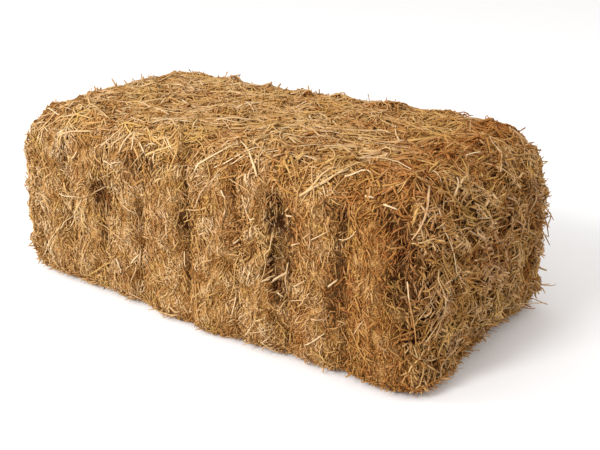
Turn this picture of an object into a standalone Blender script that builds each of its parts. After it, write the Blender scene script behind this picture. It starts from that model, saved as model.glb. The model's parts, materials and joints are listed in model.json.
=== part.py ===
"""A small square bale of straw hay: ten pressed flakes that stand in a row, as the baler's plunger packed them.

Each flake is a wad of straw of its own, crowned between two joints, with raised locks of straw grown into its outside.
Metres, +Z up: the bale's length lies along X, its width along Y, and the origin is on the ground under its middle.
"""

import math
import random

import bpy
import bmesh
from mathutils import Matrix, Vector, noise
from mathutils.bvhtree import BVHTree

# The bale, over its outermost straw
LENGTH = 0.914
WIDTH = 0.457
HEIGHT = 0.330

# The flakes, from the -X end to the +X end
FLAKE_THICKNESS = (0.075, 0.082, 0.098, 0.087, 0.110, 0.106, 0.091, 0.111, 0.103, 0.051)
JOINT_LEAN = (0.03, -0.02, 0.03, 0.10, 0.0, -0.02, -0.05, 0.01, -0.08)
JOINT_TURN = (0.02, 0.04, -0.05, 0.03, -0.03, 0.05, -0.02, 0.04, -0.03)
JOINT_GAP = 0.0003

# How far the outside is drawn in at a joint
SIDE_GROOVE = 0.015
TOP_GROOVE = 0.006
BOTTOM_GROOVE = 0.004
GROOVE_SHARE = 0.24

# Rounded edges
TOP_EDGE_RADIUS = 0.068
BOTTOM_EDGE_RADIUS = 0.030
END_EDGE_RADIUS = 0.066
END_CROWN = 0.010
BOTTOM_DRAW_SHARE = 0.35

# Raised locks of straw
LOCK_LENGTH = 0.095
LOCK_WIDTH = 0.018
LOCK_RISE = 0.0055
LOCK_TIP_LIFT = 0.005
LOCK_SINK = 0.0015
LOCK_SIDES = 5
LOCK_EDGE_MARGIN = 0.006
LOCK_BELLY = (-0.22, 0.18)
LOCK_TIP_WIDTH_SHARE = 0.8
LOCK_LENGTH_SPREAD = (0.8, 1.1)
LOCK_WIDTH_SPREAD = (0.8, 1.2)
UPRIGHT_SLANT_DEG = (40, 140)
TOP_SLANT_DEG = (-60, 60)

# Places of the locks, as shares of the bale's height or width
SIDE_LOCK_LEVELS = (0.20, 0.46, 0.72)
TOP_LOCK_PLACES = (-0.35, -0.12, 0.12, 0.35)
END_LOCK_PLACES = (-0.30, -0.02, 0.28)
END_LOCK_LIFTS = (-0.26, 0.0, 0.26)
LOCK_WANDER = 0.05
END_LOCK_WANDER = 0.04

# The straw stands this far inside the bale's full size, so that the locks reach it
SKIN_DEPTH = 0.004
RUMPLE_HEIGHT = 0.0055
RUMPLE_LENGTH = 0.085

# Where each end's rounded edge meets its crowned face
END_PLANE = LENGTH / 2 - SKIN_DEPTH - END_CROWN

CORNER_STEPS = 3
TOP_STEPS = 7
SIDE_STEPS = 5
BOTTOM_STEPS = 4
BAND_SHARES = (0.0, 0.08, 0.28, 0.72, 0.92, 1.0)
CAP_SHARES = (0.62, 0.28)
STRAW_SEED = 14

# Linear colours: pale, golden and brown straw
STRAW_TONES = ((0.47, 0.29, 0.125), (0.43, 0.25, 0.10), (0.36, 0.20, 0.08))
FLAKE_TONES = (0, 0, 1, 0, 1, 0, 1, 2, 1, 2)
STRAW_ROUGHNESS = 0.75
SHARP_ANGLE_DEG = 40


def clear_scene():
    for old in list(bpy.data.objects):
        bpy.data.objects.remove(old)


def straw_material(number):
    """Straw of one of three tones, as the flakes differ a little along the bale."""
    tone = STRAW_TONES[FLAKE_TONES[number]]
    material = bpy.data.materials.new(f"straw_{number + 1:02d}")
    material.use_nodes = True
    surface = material.node_tree.nodes["Principled BSDF"]
    surface.inputs["Base Color"].default_value = (*tone, 1.0)
    surface.inputs["Roughness"].default_value = STRAW_ROUGHNESS
    surface.inputs["Metallic"].default_value = 0.0
    return material


def smooth_step(t):
    t = min(max(t, 0.0), 1.0)
    return t * t * (3 - 2 * t)


def cross_section(drawn_in):
    """Points round the bale's section as (y, z, outward y, outward z), anticlockwise seen from +X.

    drawn_in is how far the section is smaller on each side, as it is near the bale's rounded ends.
    """
    half = WIDTH / 2 - SKIN_DEPTH - drawn_in
    top = HEIGHT - SKIN_DEPTH - drawn_in
    base = drawn_in * BOTTOM_DRAW_SHARE
    low, high = BOTTOM_EDGE_RADIUS, TOP_EDGE_RADIUS
    points = []

    def straight(start, end, steps, outward):
        for step in range(1, steps):
            share = step / steps
            y = start[0] + (end[0] - start[0]) * share
            z = start[1] + (end[1] - start[1]) * share
            points.append((y, z, *outward))

    def corner(centre, radius, first_angle):
        for step in range(CORNER_STEPS + 1):
            angle = first_angle + math.pi / 2 * step / CORNER_STEPS
            out = (math.cos(angle), math.sin(angle))
            points.append((centre[0] + radius * out[0], centre[1] + radius * out[1], *out))

    corner((half - low, base + low), low, -math.pi / 2)
    straight((half, base + low), (half, top - high), SIDE_STEPS, (1, 0))
    corner((half - high, top - high), high, 0)
    straight((half - high, top), (high - half, top), TOP_STEPS, (0, 1))
    corner((high - half, top - high), high, math.pi / 2)
    straight((-half, top - high), (-half, base + low), SIDE_STEPS, (-1, 0))
    corner((low - half, base + low), low, math.pi)
    straight((low - half, base), (half - low, base), BOTTOM_STEPS, (0, -1))
    return points


def groove_depth(out_z):
    """How far a joint draws the outside in, by the way that the outside faces there."""
    if out_z >= 0:
        return SIDE_GROOVE + (TOP_GROOVE - SIDE_GROOVE) * out_z
    return SIDE_GROOVE + (BOTTOM_GROOVE - SIDE_GROOVE) * -out_z


def rumple(x, y, z, out_z):
    """The uneven packing of the straw, which is pressed flat where the bale lies on the ground."""
    place = Vector((x, y, z)) / RUMPLE_LENGTH
    pressed = 1 - smooth_step(-out_z)
    return RUMPLE_HEIGHT * pressed * noise.fractal(place, 1.0, 2.0, 2)


class Joint:
    """The plane between two flakes: it leans along the bale with height, and turns with width.

    x is its place halfway up the -Y side.
    """

    def __init__(self, x, lean, turn):
        self.x, self.lean, self.turn = x, lean, turn

    def at(self, y, z):
        return self.x + self.lean * (z - HEIGHT / 2) + self.turn * (y + WIDTH / 2)

    def moved(self, by):
        return Joint(self.x + by, self.lean, self.turn)


def joints():
    """The nine joints between the flakes, with the bale's two ends before and after them."""
    places = [Joint(-END_PLANE, 0, 0)]
    x = -LENGTH / 2
    for thickness, lean, turn in zip(FLAKE_THICKNESS, JOINT_LEAN, JOINT_TURN):
        x += thickness
        places.append(Joint(x, lean, turn))
    places.append(Joint(END_PLANE, 0, 0))
    return places


def band(groove_share, drawn_in, left, right, share):
    """One ring of the flake's outside, at this share of the way from its left joint to its right one."""
    ring = []
    for y, z, out_y, out_z in cross_section(drawn_in):
        x = left.at(y, z) * (1 - share) + right.at(y, z) * share
        drawn = groove_depth(out_z) * groove_share - rumple(x, y, z, out_z)
        y, z = y - out_y * drawn, max(z - out_z * drawn, 0.0)
        ring.append(Vector((left.at(y, z) * (1 - share) + right.at(y, z) * share, y, z)))
    return ring


def end_rounding(x):
    """How much smaller the bale's section is at this x, near its rounded ends."""
    into = END_EDGE_RADIUS - (END_PLANE - abs(x))
    if into <= 0:
        return 0.0
    return END_EDGE_RADIUS - math.sqrt(END_EDGE_RADIUS**2 - min(into, END_EDGE_RADIUS) ** 2)


def rings_of(left, right, open_left, open_right):
    """All rings from one side of the flake to the other, drawn in at its joints but not at the bale's ends."""
    rings = []
    for share in BAND_SHARES:
        left_groove = 0 if open_left else 1 - smooth_step(share / GROOVE_SHARE) ** 0.5
        right_groove = 0 if open_right else 1 - smooth_step((1 - share) / GROOVE_SHARE) ** 0.5
        x = left.at(0, HEIGHT / 2) * (1 - share) + right.at(0, HEIGHT / 2) * share
        rings.append(band(max(left_groove, right_groove), end_rounding(x), left, right, share))
    return rings


def cap_rings(edge, towards):
    """Smaller rings inside an end's edge that crown it, and the middle point. towards is -1 or 1 along X."""
    centre = sum(edge, Vector()) / len(edge)
    inner = []
    for share in CAP_SHARES:
        ring = []
        for point in edge:
            place = centre.lerp(point, share)
            crown = END_CROWN * (1 - share**2) * smooth_step(place.z / TOP_EDGE_RADIUS)
            rough = RUMPLE_HEIGHT * noise.fractal(place / RUMPLE_LENGTH, 1.0, 2.0, 2)
            ring.append(place + Vector((towards * (crown + rough), 0, 0)))
        inner.append(ring)
    return inner, centre + Vector((towards * END_CROWN, 0, 0))


def skin(mesh, first, second):
    """Quads between two rings of the same number of points."""
    count = len(first)
    for i in range(count):
        j = (i + 1) % count
        mesh.faces.new((first[i], first[j], second[j], second[i]))


def face_out(mesh):
    """Turns every face of a closed mesh outwards."""
    bmesh.ops.recalc_face_normals(mesh, faces=mesh.faces)
    if mesh.calc_volume(signed=True) < 0:
        bmesh.ops.reverse_faces(mesh, faces=mesh.faces)


def close_end(mesh, edge, points, towards):
    """Closes a ring as the bale's crowned end."""
    inner, middle = cap_rings(points, towards)
    outer = edge
    for ring in inner:
        verts = [mesh.verts.new(point) for point in ring]
        skin(mesh, outer, verts)
        outer = verts
    tip = mesh.verts.new(middle)
    for i in range(len(outer)):
        mesh.faces.new((outer[i], outer[(i + 1) % len(outer)], tip))


def flake_mesh(name, left, right, open_left, open_right):
    """The pressed body of one flake, without its locks."""
    mesh = bmesh.new()
    rings = rings_of(left, right, open_left, open_right)
    loops = [[mesh.verts.new(point) for point in ring] for ring in rings]
    for first, second in zip(loops, loops[1:]):
        skin(mesh, first, second)
    for is_open, loop, points, towards in (
        (open_left, loops[0], rings[0], -1),
        (open_right, loops[-1], rings[-1], 1),
    ):
        if is_open:
            close_end(mesh, loop, points, towards)
        else:
            mesh.faces.new(loop)
    face_out(mesh)
    data = bpy.data.meshes.new(name)
    mesh.to_mesh(data)
    mesh.free()
    return data


def lock_mesh(name, length, width):
    """A lock of straw: a bundle that swells from two tips, with its +X tip lifted."""
    mesh = bmesh.new()
    rings = []
    for share in LOCK_BELLY:
        ring = []
        for side in range(LOCK_SIDES):
            angle = 2 * math.pi * side / LOCK_SIDES
            y = width / 2 * math.cos(angle) * (1 if share < 0 else LOCK_TIP_WIDTH_SHARE)
            z = LOCK_RISE * math.sin(angle) + LOCK_TIP_LIFT * max(share, 0)
            ring.append(mesh.verts.new((share * length, y, z)))
        rings.append(ring)
    skin(mesh, *rings)
    root = mesh.verts.new((-length / 2, 0, -2 * LOCK_SINK))
    tip = mesh.verts.new((length / 2, 0, LOCK_TIP_LIFT))
    for i in range(LOCK_SIDES):
        j = (i + 1) % LOCK_SIDES
        mesh.faces.new((rings[0][i], rings[0][j], root))
        mesh.faces.new((rings[1][i], rings[1][j], tip))
    face_out(mesh)
    data = bpy.data.meshes.new(name)
    mesh.to_mesh(data)
    mesh.free()
    return data


def lock_starts(left, right, open_left, open_right, chance):
    """Rays that find the places of a flake's locks, as (start, direction)."""
    middle = HEIGHT / 2
    rays = []
    for side in (-1, 1):
        for level in SIDE_LOCK_LEVELS:
            z = HEIGHT * (level + chance.uniform(-LOCK_WANDER, LOCK_WANDER))
            rays.append((side * WIDTH, z, (0, -side, 0)))
    for across in TOP_LOCK_PLACES:
        y = WIDTH * (across + chance.uniform(-LOCK_WANDER, LOCK_WANDER))
        rays.append((y, 2 * HEIGHT, (0, 0, -1)))
    starts = []
    for y, z, direction in rays:
        near_y = max(min(y, WIDTH / 2), -WIDTH / 2)
        near_z = min(z, HEIGHT)
        x = (left.at(near_y, near_z) + right.at(near_y, near_z)) / 2
        starts.append((Vector((x, y, z)), Vector(direction)))
    for is_open, towards in ((open_left, -1), (open_right, 1)):
        if not is_open:
            continue
        for across in END_LOCK_PLACES:
            for lift in END_LOCK_LIFTS:
                y = WIDTH * (across + chance.uniform(-END_LOCK_WANDER, END_LOCK_WANDER))
                z = middle + HEIGHT * (lift + chance.uniform(-END_LOCK_WANDER, END_LOCK_WANDER))
                starts.append((Vector((towards * LENGTH, y, z)), Vector((-towards, 0, 0))))
    return starts


def add_locks(flake, left, right, open_left, open_right, chance):
    """Joins the flake's locks to it, each kept between the flake's own two joints."""
    tree = BVHTree.FromPolygons(
        [v.co for v in flake.data.vertices], [p.vertices[:] for p in flake.data.polygons]
    )
    room = (right.x - left.x) / 2 - LOCK_EDGE_MARGIN
    for number, (start, direction) in enumerate(
        lock_starts(left, right, open_left, open_right, chance)
    ):
        place, normal, _, _ = tree.ray_cast(start, direction)
        on_end = abs(direction.x) > 0.5
        level = Vector((0, 1, 0)) if on_end else Vector((1, 0, 0))
        slant = math.radians(chance.uniform(*UPRIGHT_SLANT_DEG))
        if abs(direction.z) > 0.5:
            slant = math.radians(chance.uniform(*TOP_SLANT_DEG))
        across = normal.cross(level).normalized()
        level = across.cross(normal).normalized()
        along = level * math.cos(slant) + across * math.sin(slant)
        length = LOCK_LENGTH * chance.uniform(*LOCK_LENGTH_SPREAD)
        width = LOCK_WIDTH * chance.uniform(*LOCK_WIDTH_SPREAD)
        if not on_end:
            spare = room - width / 2 * abs(math.sin(slant))
            length = min(length, 2 * spare / max(abs(math.cos(slant)), 0.05))
        lock = bpy.data.objects.new(
            f"{flake.name}_lock_{number:02d}", lock_mesh(f"{flake.name}_lock_{number:02d}", length, width)
        )
        bpy.context.scene.collection.objects.link(lock)
        turn = Matrix((along, normal.cross(along), normal)).transposed().to_4x4()
        lock.matrix_world = Matrix.Translation(place + normal * LOCK_SINK) @ turn
        lock.hide_render = True
        lock.display_type = "WIRE"
        join = flake.modifiers.new(f"lock_{number:02d}", "BOOLEAN")
        join.operation = "UNION"
        join.object = lock


def build_bale():
    chance = random.Random(STRAW_SEED)
    places = joints()
    count = len(FLAKE_THICKNESS)
    for number in range(count):
        open_left, open_right = number == 0, number == count - 1
        left = places[number] if open_left else places[number].moved(JOINT_GAP / 2)
        right = places[number + 1] if open_right else places[number + 1].moved(-JOINT_GAP / 2)
        name = f"flake_{number + 1:02d}"
        flake = bpy.data.objects.new(name, flake_mesh(name, left, right, open_left, open_right))
        bpy.context.scene.collection.objects.link(flake)
        flake.data.materials.append(straw_material(number))
        flake.data.shade_smooth()
        flake.data.set_sharp_from_angle(angle=math.radians(SHARP_ANGLE_DEG))
        add_locks(flake, left, right, open_left, open_right, chance)


clear_scene()
build_bale()
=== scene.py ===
"""The looks of a small square bale of straw hay.

Ten flakes of pressed straw stand in a row. Each is dressed as one piece: its pressed body, and the loose
stems, chaff and leaf blades that lie on it. Every stem is a closed tube, modelled once for its kind, then bent
along the flake's skin. Metres, +Z up, with the bale's length along X.
"""

from __future__ import annotations

import json
import logging
import math
from dataclasses import dataclass, field
from enum import Enum
from typing import Callable, Sequence

import bpy
import numpy as np
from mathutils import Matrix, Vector
from mathutils.bvhtree import BVHTree

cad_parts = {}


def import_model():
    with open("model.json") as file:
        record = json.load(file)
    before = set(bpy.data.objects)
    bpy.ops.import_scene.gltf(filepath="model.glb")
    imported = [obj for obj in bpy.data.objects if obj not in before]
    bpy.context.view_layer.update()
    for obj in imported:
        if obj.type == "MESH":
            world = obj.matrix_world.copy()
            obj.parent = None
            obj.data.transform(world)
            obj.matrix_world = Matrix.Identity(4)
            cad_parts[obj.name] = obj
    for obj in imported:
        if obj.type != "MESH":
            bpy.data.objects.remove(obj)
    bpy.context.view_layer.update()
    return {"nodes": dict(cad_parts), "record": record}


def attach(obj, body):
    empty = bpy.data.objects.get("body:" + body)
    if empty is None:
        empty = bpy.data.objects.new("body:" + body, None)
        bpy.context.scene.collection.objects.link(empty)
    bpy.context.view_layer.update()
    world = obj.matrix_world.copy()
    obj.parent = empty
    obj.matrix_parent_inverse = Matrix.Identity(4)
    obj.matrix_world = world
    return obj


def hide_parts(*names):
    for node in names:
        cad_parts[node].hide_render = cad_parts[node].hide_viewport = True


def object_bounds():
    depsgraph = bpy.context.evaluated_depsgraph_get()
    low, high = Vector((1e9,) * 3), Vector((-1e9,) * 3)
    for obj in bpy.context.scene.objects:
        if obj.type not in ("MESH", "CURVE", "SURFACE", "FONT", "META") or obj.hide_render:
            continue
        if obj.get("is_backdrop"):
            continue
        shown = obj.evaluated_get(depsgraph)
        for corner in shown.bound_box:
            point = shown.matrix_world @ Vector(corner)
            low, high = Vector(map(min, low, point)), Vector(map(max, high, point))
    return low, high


LOG = logging.getLogger("bale")

FRAME_WIDTH_PX = 600
FRAME_HEIGHT_PX = 450
SENSOR_MM = 36.0
MM = 0.001

Array = np.ndarray
Chance = np.random.Generator
Piece = bpy.types.Object
Socket = bpy.types.NodeSocket
Stops = tuple[tuple[float, str], ...]
ByZone = tuple[float, float, float, float]
Place = tuple[float, float, float]


def linear(hex_colour: str) -> tuple[float, float, float, float]:
    """Turns an sRGB hex colour into linear RGBA.

    Args:
        hex_colour: Six hex digits after a hash.

    Returns:
        The colour as Blender's sockets take it.
    """
    channels = [int(hex_colour[i : i + 2], 16) / 255 for i in (1, 3, 5)]
    red, green, blue = (c / 12.92 if c <= 0.04045 else ((c + 0.055) / 1.055) ** 2.4 for c in channels)
    return red, green, blue, 1.0


def unit(vectors: Array) -> Array:
    """Scales vectors, which lie along the last axis, to length one."""
    length = np.linalg.norm(vectors, axis=-1, keepdims=True)
    return vectors / np.maximum(length, 1e-9)


def add_node(
    tree: bpy.types.NodeTree, kind: str, settings: dict | None = None, stops: Stops = (), **links: object
) -> bpy.types.Node:
    """Adds a node with its settings, colour stops, socket values and links.

    Args:
        tree: The node tree to add to.
        kind: The node's type name, as Blender spells it.
        settings: Properties of the node itself.
        stops: Places from 0 to 1 with their sRGB hex colours, where it is a colour ramp.
        **links: Socket name, with spaces as underscores, or "in" and a number, to a value or an output socket.

    Returns:
        The new node.
    """
    node = tree.nodes.new(kind)
    for name, value in (settings or {}).items():
        setattr(node, name, value)
    if stops:
        for _ in stops[2:]:
            node.color_ramp.elements.new(0.5)
        for element, (place, colour) in zip(node.color_ramp.elements, stops):
            element.position, element.color = place, linear(colour)
    for name, value in links.items():
        numbered = name.startswith("in") and name[2:].isdigit()
        socket = node.inputs[int(name[2:])] if numbered else node.inputs[name.replace("_", " ")]
        if isinstance(value, Socket):
            tree.links.new(value, socket)
        else:
            socket.default_value = value
    return node


def new_material(name: str, roughness: float, shine: float) -> tuple[bpy.types.Material, bpy.types.Node]:
    """Makes a material.

    Args:
        name: Its name.
        roughness: Its roughness.
        shine: Its specular level.

    Returns:
        The material, and its surface node.
    """
    made = bpy.data.materials.new(name)
    made.use_nodes = True
    surface = made.node_tree.nodes["Principled BSDF"]
    surface.inputs["Roughness"].default_value = roughness
    surface.inputs["Specular IOR Level"].default_value = shine
    return made, surface


def deselect_all() -> None:
    """Leaves object mode with nothing selected."""
    if bpy.context.mode != "OBJECT":
        bpy.ops.object.mode_set(mode="OBJECT")
    bpy.ops.object.select_all(action="DESELECT")


def edit_vertices(piece: Piece, chosen: Callable[[Vector], bool]) -> None:
    """Enters edit mode on a piece with only some of its vertices selected.

    Args:
        piece: The mesh object.
        chosen: Says for a vertex's place whether it is selected.
    """
    deselect_all()
    bpy.context.view_layer.objects.active = piece
    piece.select_set(True)
    bpy.ops.object.mode_set(mode="EDIT")
    bpy.ops.mesh.select_mode(type="VERT")
    bpy.ops.mesh.select_all(action="DESELECT")
    bpy.ops.object.mode_set(mode="OBJECT")
    for vertex in piece.data.vertices:
        vertex.select = chosen(vertex.co)
    bpy.ops.object.mode_set(mode="EDIT")


def vertex_arrays(piece: Piece) -> tuple[Array, Array]:
    """Reads a piece's vertices.

    Args:
        piece: The mesh object.

    Returns:
        Their places and their normals.
    """
    count = len(piece.data.vertices)
    places, facing = np.empty(count * 3), np.empty(count * 3)
    piece.data.vertices.foreach_get("co", places)
    piece.data.vertices.foreach_get("normal", facing)
    return places.reshape(-1, 3), facing.reshape(-1, 3)


def store_marks(data: bpy.types.Mesh, marks: dict[str, Array]) -> None:
    """Writes colour marks to a mesh.

    Args:
        data: The mesh.
        marks: The value of each mark at every vertex.
    """
    for name, values in marks.items():
        data.attributes.new(name, "FLOAT", "POINT").data.foreach_set("value", values.astype(np.float32))


class Zone(Enum):
    """The four kinds of outside that a bale has, by how its straw lies there."""

    TOP = 0
    SIDE = 1
    END = 2
    BASE = 3


MARKS = ("tone", "ruddy", "yellow", "weather_and_shade")
MIX = {"data_type": "RGBA", "blend_type": "MIX"}
MULTIPLY_ADD = {"operation": "MULTIPLY_ADD"}


@dataclass(frozen=True)
class StrawFinish:
    """Dry cereal straw: a waxy, ribbed stem that has gone from green to gold, and brown where it was damp.

    The wax gives a soft sheen along each stem, and the ribs break it up across. Ribs are drawn at a sixth of
    the way round the stem, because real ones are too fine to show.
    """

    roughness: float = 0.6
    shine: float = 0.08
    blotch_size: float = 5 * MM
    blotch_roughness: float = 0.6
    blotch_range: float = 0.28
    rib_spacing: float = 0.16
    fibre_length: float = 9 * MM
    rib_height: float = 0.12 * MM
    rib_strength: float = 0.6
    gold: Stops = (
        (0.0, "#55270A"),
        (0.20, "#834B1C"),
        (0.40, "#AA773E"),
        (0.58, "#C59D67"),
        (0.78, "#DEC198"),
        (1.0, "#ECD9B2"),
    )
    # The last tint browns weathered stems, and also paints shade on those in the seams and the dark patches.
    tints: tuple[tuple[str, str], ...] = (("ruddy", "#A8612E"), ("yellow", "#CFA758"), ("weather_and_shade", "#755339"))

    def material(self) -> bpy.types.Material:
        """Builds the stem material, which reads each stem's own tone, hue and weathering; tone and weathering
        also carry painted shade, and tone carries painted light on the tufts.
        """
        made, surface = new_material("dry_cereal_straw", self.roughness, self.shine)
        tree = made.node_tree
        mark = {}
        for name in MARKS:
            mark[name] = add_node(tree, "ShaderNodeAttribute", {"attribute_name": name}).outputs["Fac"]
        blotch = add_node(
            tree,
            "ShaderNodeTexNoise",
            Vector=add_node(tree, "ShaderNodeTexCoord").outputs["Object"],
            Scale=1 / self.blotch_size,
            Detail=2.0,
            Roughness=self.blotch_roughness,
        ).outputs["Fac"]
        half = self.blotch_range / 2
        shade = add_node(tree, "ShaderNodeMath", MULTIPLY_ADD, in0=blotch, in1=self.blotch_range, in2=-half)
        clamped = {"operation": "ADD", "use_clamp": True}
        tone = add_node(tree, "ShaderNodeMath", clamped, in0=mark["tone"], in1=shade.outputs[0]).outputs[0]
        colour = add_node(tree, "ShaderNodeValToRGB", stops=self.gold, in0=tone).outputs["Color"]
        for name, tint in self.tints:
            mixed = add_node(tree, "ShaderNodeMix", MIX, in0=mark[name], in6=colour, in7=linear(tint))
            colour = mixed.outputs[2]
        tree.links.new(colour, surface.inputs["Base Color"])

        stem_map = add_node(tree, "ShaderNodeUVMap", {"uv_map": "StemUV"}).outputs["UV"]
        scale = (1 / self.rib_spacing, 1 / self.fibre_length, 1.0)
        stretched = add_node(tree, "ShaderNodeMapping", Vector=stem_map, Scale=scale).outputs["Vector"]
        ribs = add_node(tree, "ShaderNodeTexNoise", Vector=stretched, Scale=1.0, Detail=1.0).outputs["Fac"]
        bump = add_node(
            tree, "ShaderNodeBump", Strength=self.rib_strength, Distance=self.rib_height, Height=ribs
        )
        tree.links.new(bump.outputs["Normal"], surface.inputs["Normal"])
        return made


@dataclass(frozen=True)
class PressedFinish:
    """Straw pressed into a wad: matted broken fibres and dust, seen between the loose stems.

    It gives the warm brown ground of the bale, darkened to near black as painted shade in the cracks and on
    the end, and as dampness and painted shade in the seams.
    """

    roughness: float = 0.85
    shine: float = 0.05
    fibre_width: float = 1.6 * MM
    fibre_length: float = 9 * MM
    fibre_height: float = 1.2 * MM
    fibre_strength: float = 0.8
    tone_range: float = 0.18
    brown: Stops = ((0.42, "#5C3614"), (0.54, "#8A5E2C"), (0.64, "#AF844E"), (0.76, "#CDA776"))
    # Near black: painted shade in the cracks, the seams and on the end, and dampness in the seams.
    damp_and_shade: str = "#371A0A"

    def material(self) -> bpy.types.Material:
        """Builds the pressed straw, whose fibres run in three directions."""
        made, surface = new_material("pressed_straw", self.roughness, self.shine)
        tree = made.node_tree
        place = add_node(tree, "ShaderNodeTexCoord").outputs["Object"]
        across, along = 1 / self.fibre_width, 1 / self.fibre_length
        fibres = []
        for turn, scale in (
            ((0.3, 0.2, 0.0), (along, across, across)),
            ((0.0, 0.5, 0.4), (across, across, along)),
            ((0.6, 0.0, 0.9), (across, along, across)),
        ):
            laid = add_node(tree, "ShaderNodeMapping", Vector=place, Rotation=turn, Scale=scale)
            fibre = add_node(tree, "ShaderNodeTexNoise", Vector=laid.outputs["Vector"], Scale=1.0, Detail=1.0)
            fibres.append(fibre.outputs["Fac"])
        height = fibres[0]
        for other in fibres[1:]:
            higher = add_node(tree, "ShaderNodeMath", {"operation": "MAXIMUM"}, in0=height, in1=other)
            height = higher.outputs[0]
        tone, _, _, weather_and_shade = (
            add_node(tree, "ShaderNodeAttribute", {"attribute_name": name}).outputs["Fac"] for name in MARKS
        )
        lighter = add_node(
            tree, "ShaderNodeMath", MULTIPLY_ADD, in0=tone, in1=self.tone_range, in2=-self.tone_range / 2
        ).outputs[0]
        level = add_node(tree, "ShaderNodeMath", {"operation": "ADD"}, in0=height, in1=lighter).outputs[0]
        colour = add_node(tree, "ShaderNodeValToRGB", stops=self.brown, in0=level).outputs["Color"]
        # Mixes in the near black by the body's weathering mark: painted shade, with dampness in the seams.
        damp_and_shade = add_node(tree, "ShaderNodeMix", MIX, in0=weather_and_shade, in6=colour, in7=linear(self.damp_and_shade))
        tree.links.new(damp_and_shade.outputs[2], surface.inputs["Base Color"])
        bump = add_node(
            tree, "ShaderNodeBump", Strength=self.fibre_strength, Distance=self.fibre_height, Height=height
        )
        tree.links.new(bump.outputs["Normal"], surface.inputs["Normal"])
        return made


@dataclass(frozen=True)
class FloorFinish:
    """Matt white studio floor."""

    colour: str = "#F6F8FC"
    roughness: float = 0.9

    def material(self) -> bpy.types.Material:
        """Builds the floor's plain matt white."""
        made, surface = new_material("matt_white_floor", self.roughness, 0.0)
        surface.inputs["Base Color"].default_value = linear(self.colour)
        return made


@dataclass
class StemMesh:
    """A modelled stem as arrays, ready to be laid many times.

    Attributes:
        ring: For each vertex, the number of the ring that it is on.
        offset: For each vertex, its place across the stem, in units of the stem's radius.
        along: For each vertex, its share of the way along.
        loops: Vertex numbers of all faces, one after another.
        sizes: How many vertices each face has.
        cell: A place in the unit square for each face corner, without overlaps.
        wrap: For each face corner, the share of the way round the stem.
    """

    ring: Array
    offset: Array
    along: Array
    loops: Array
    sizes: Array
    cell: Array
    wrap: Array

    @property
    def rings(self) -> int:
        """How many rings the stem has."""
        return int(self.ring.max()) + 1

    @property
    def triangles(self) -> int:
        """How many triangles one stem takes."""
        return int((self.sizes - 2).sum())


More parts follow.
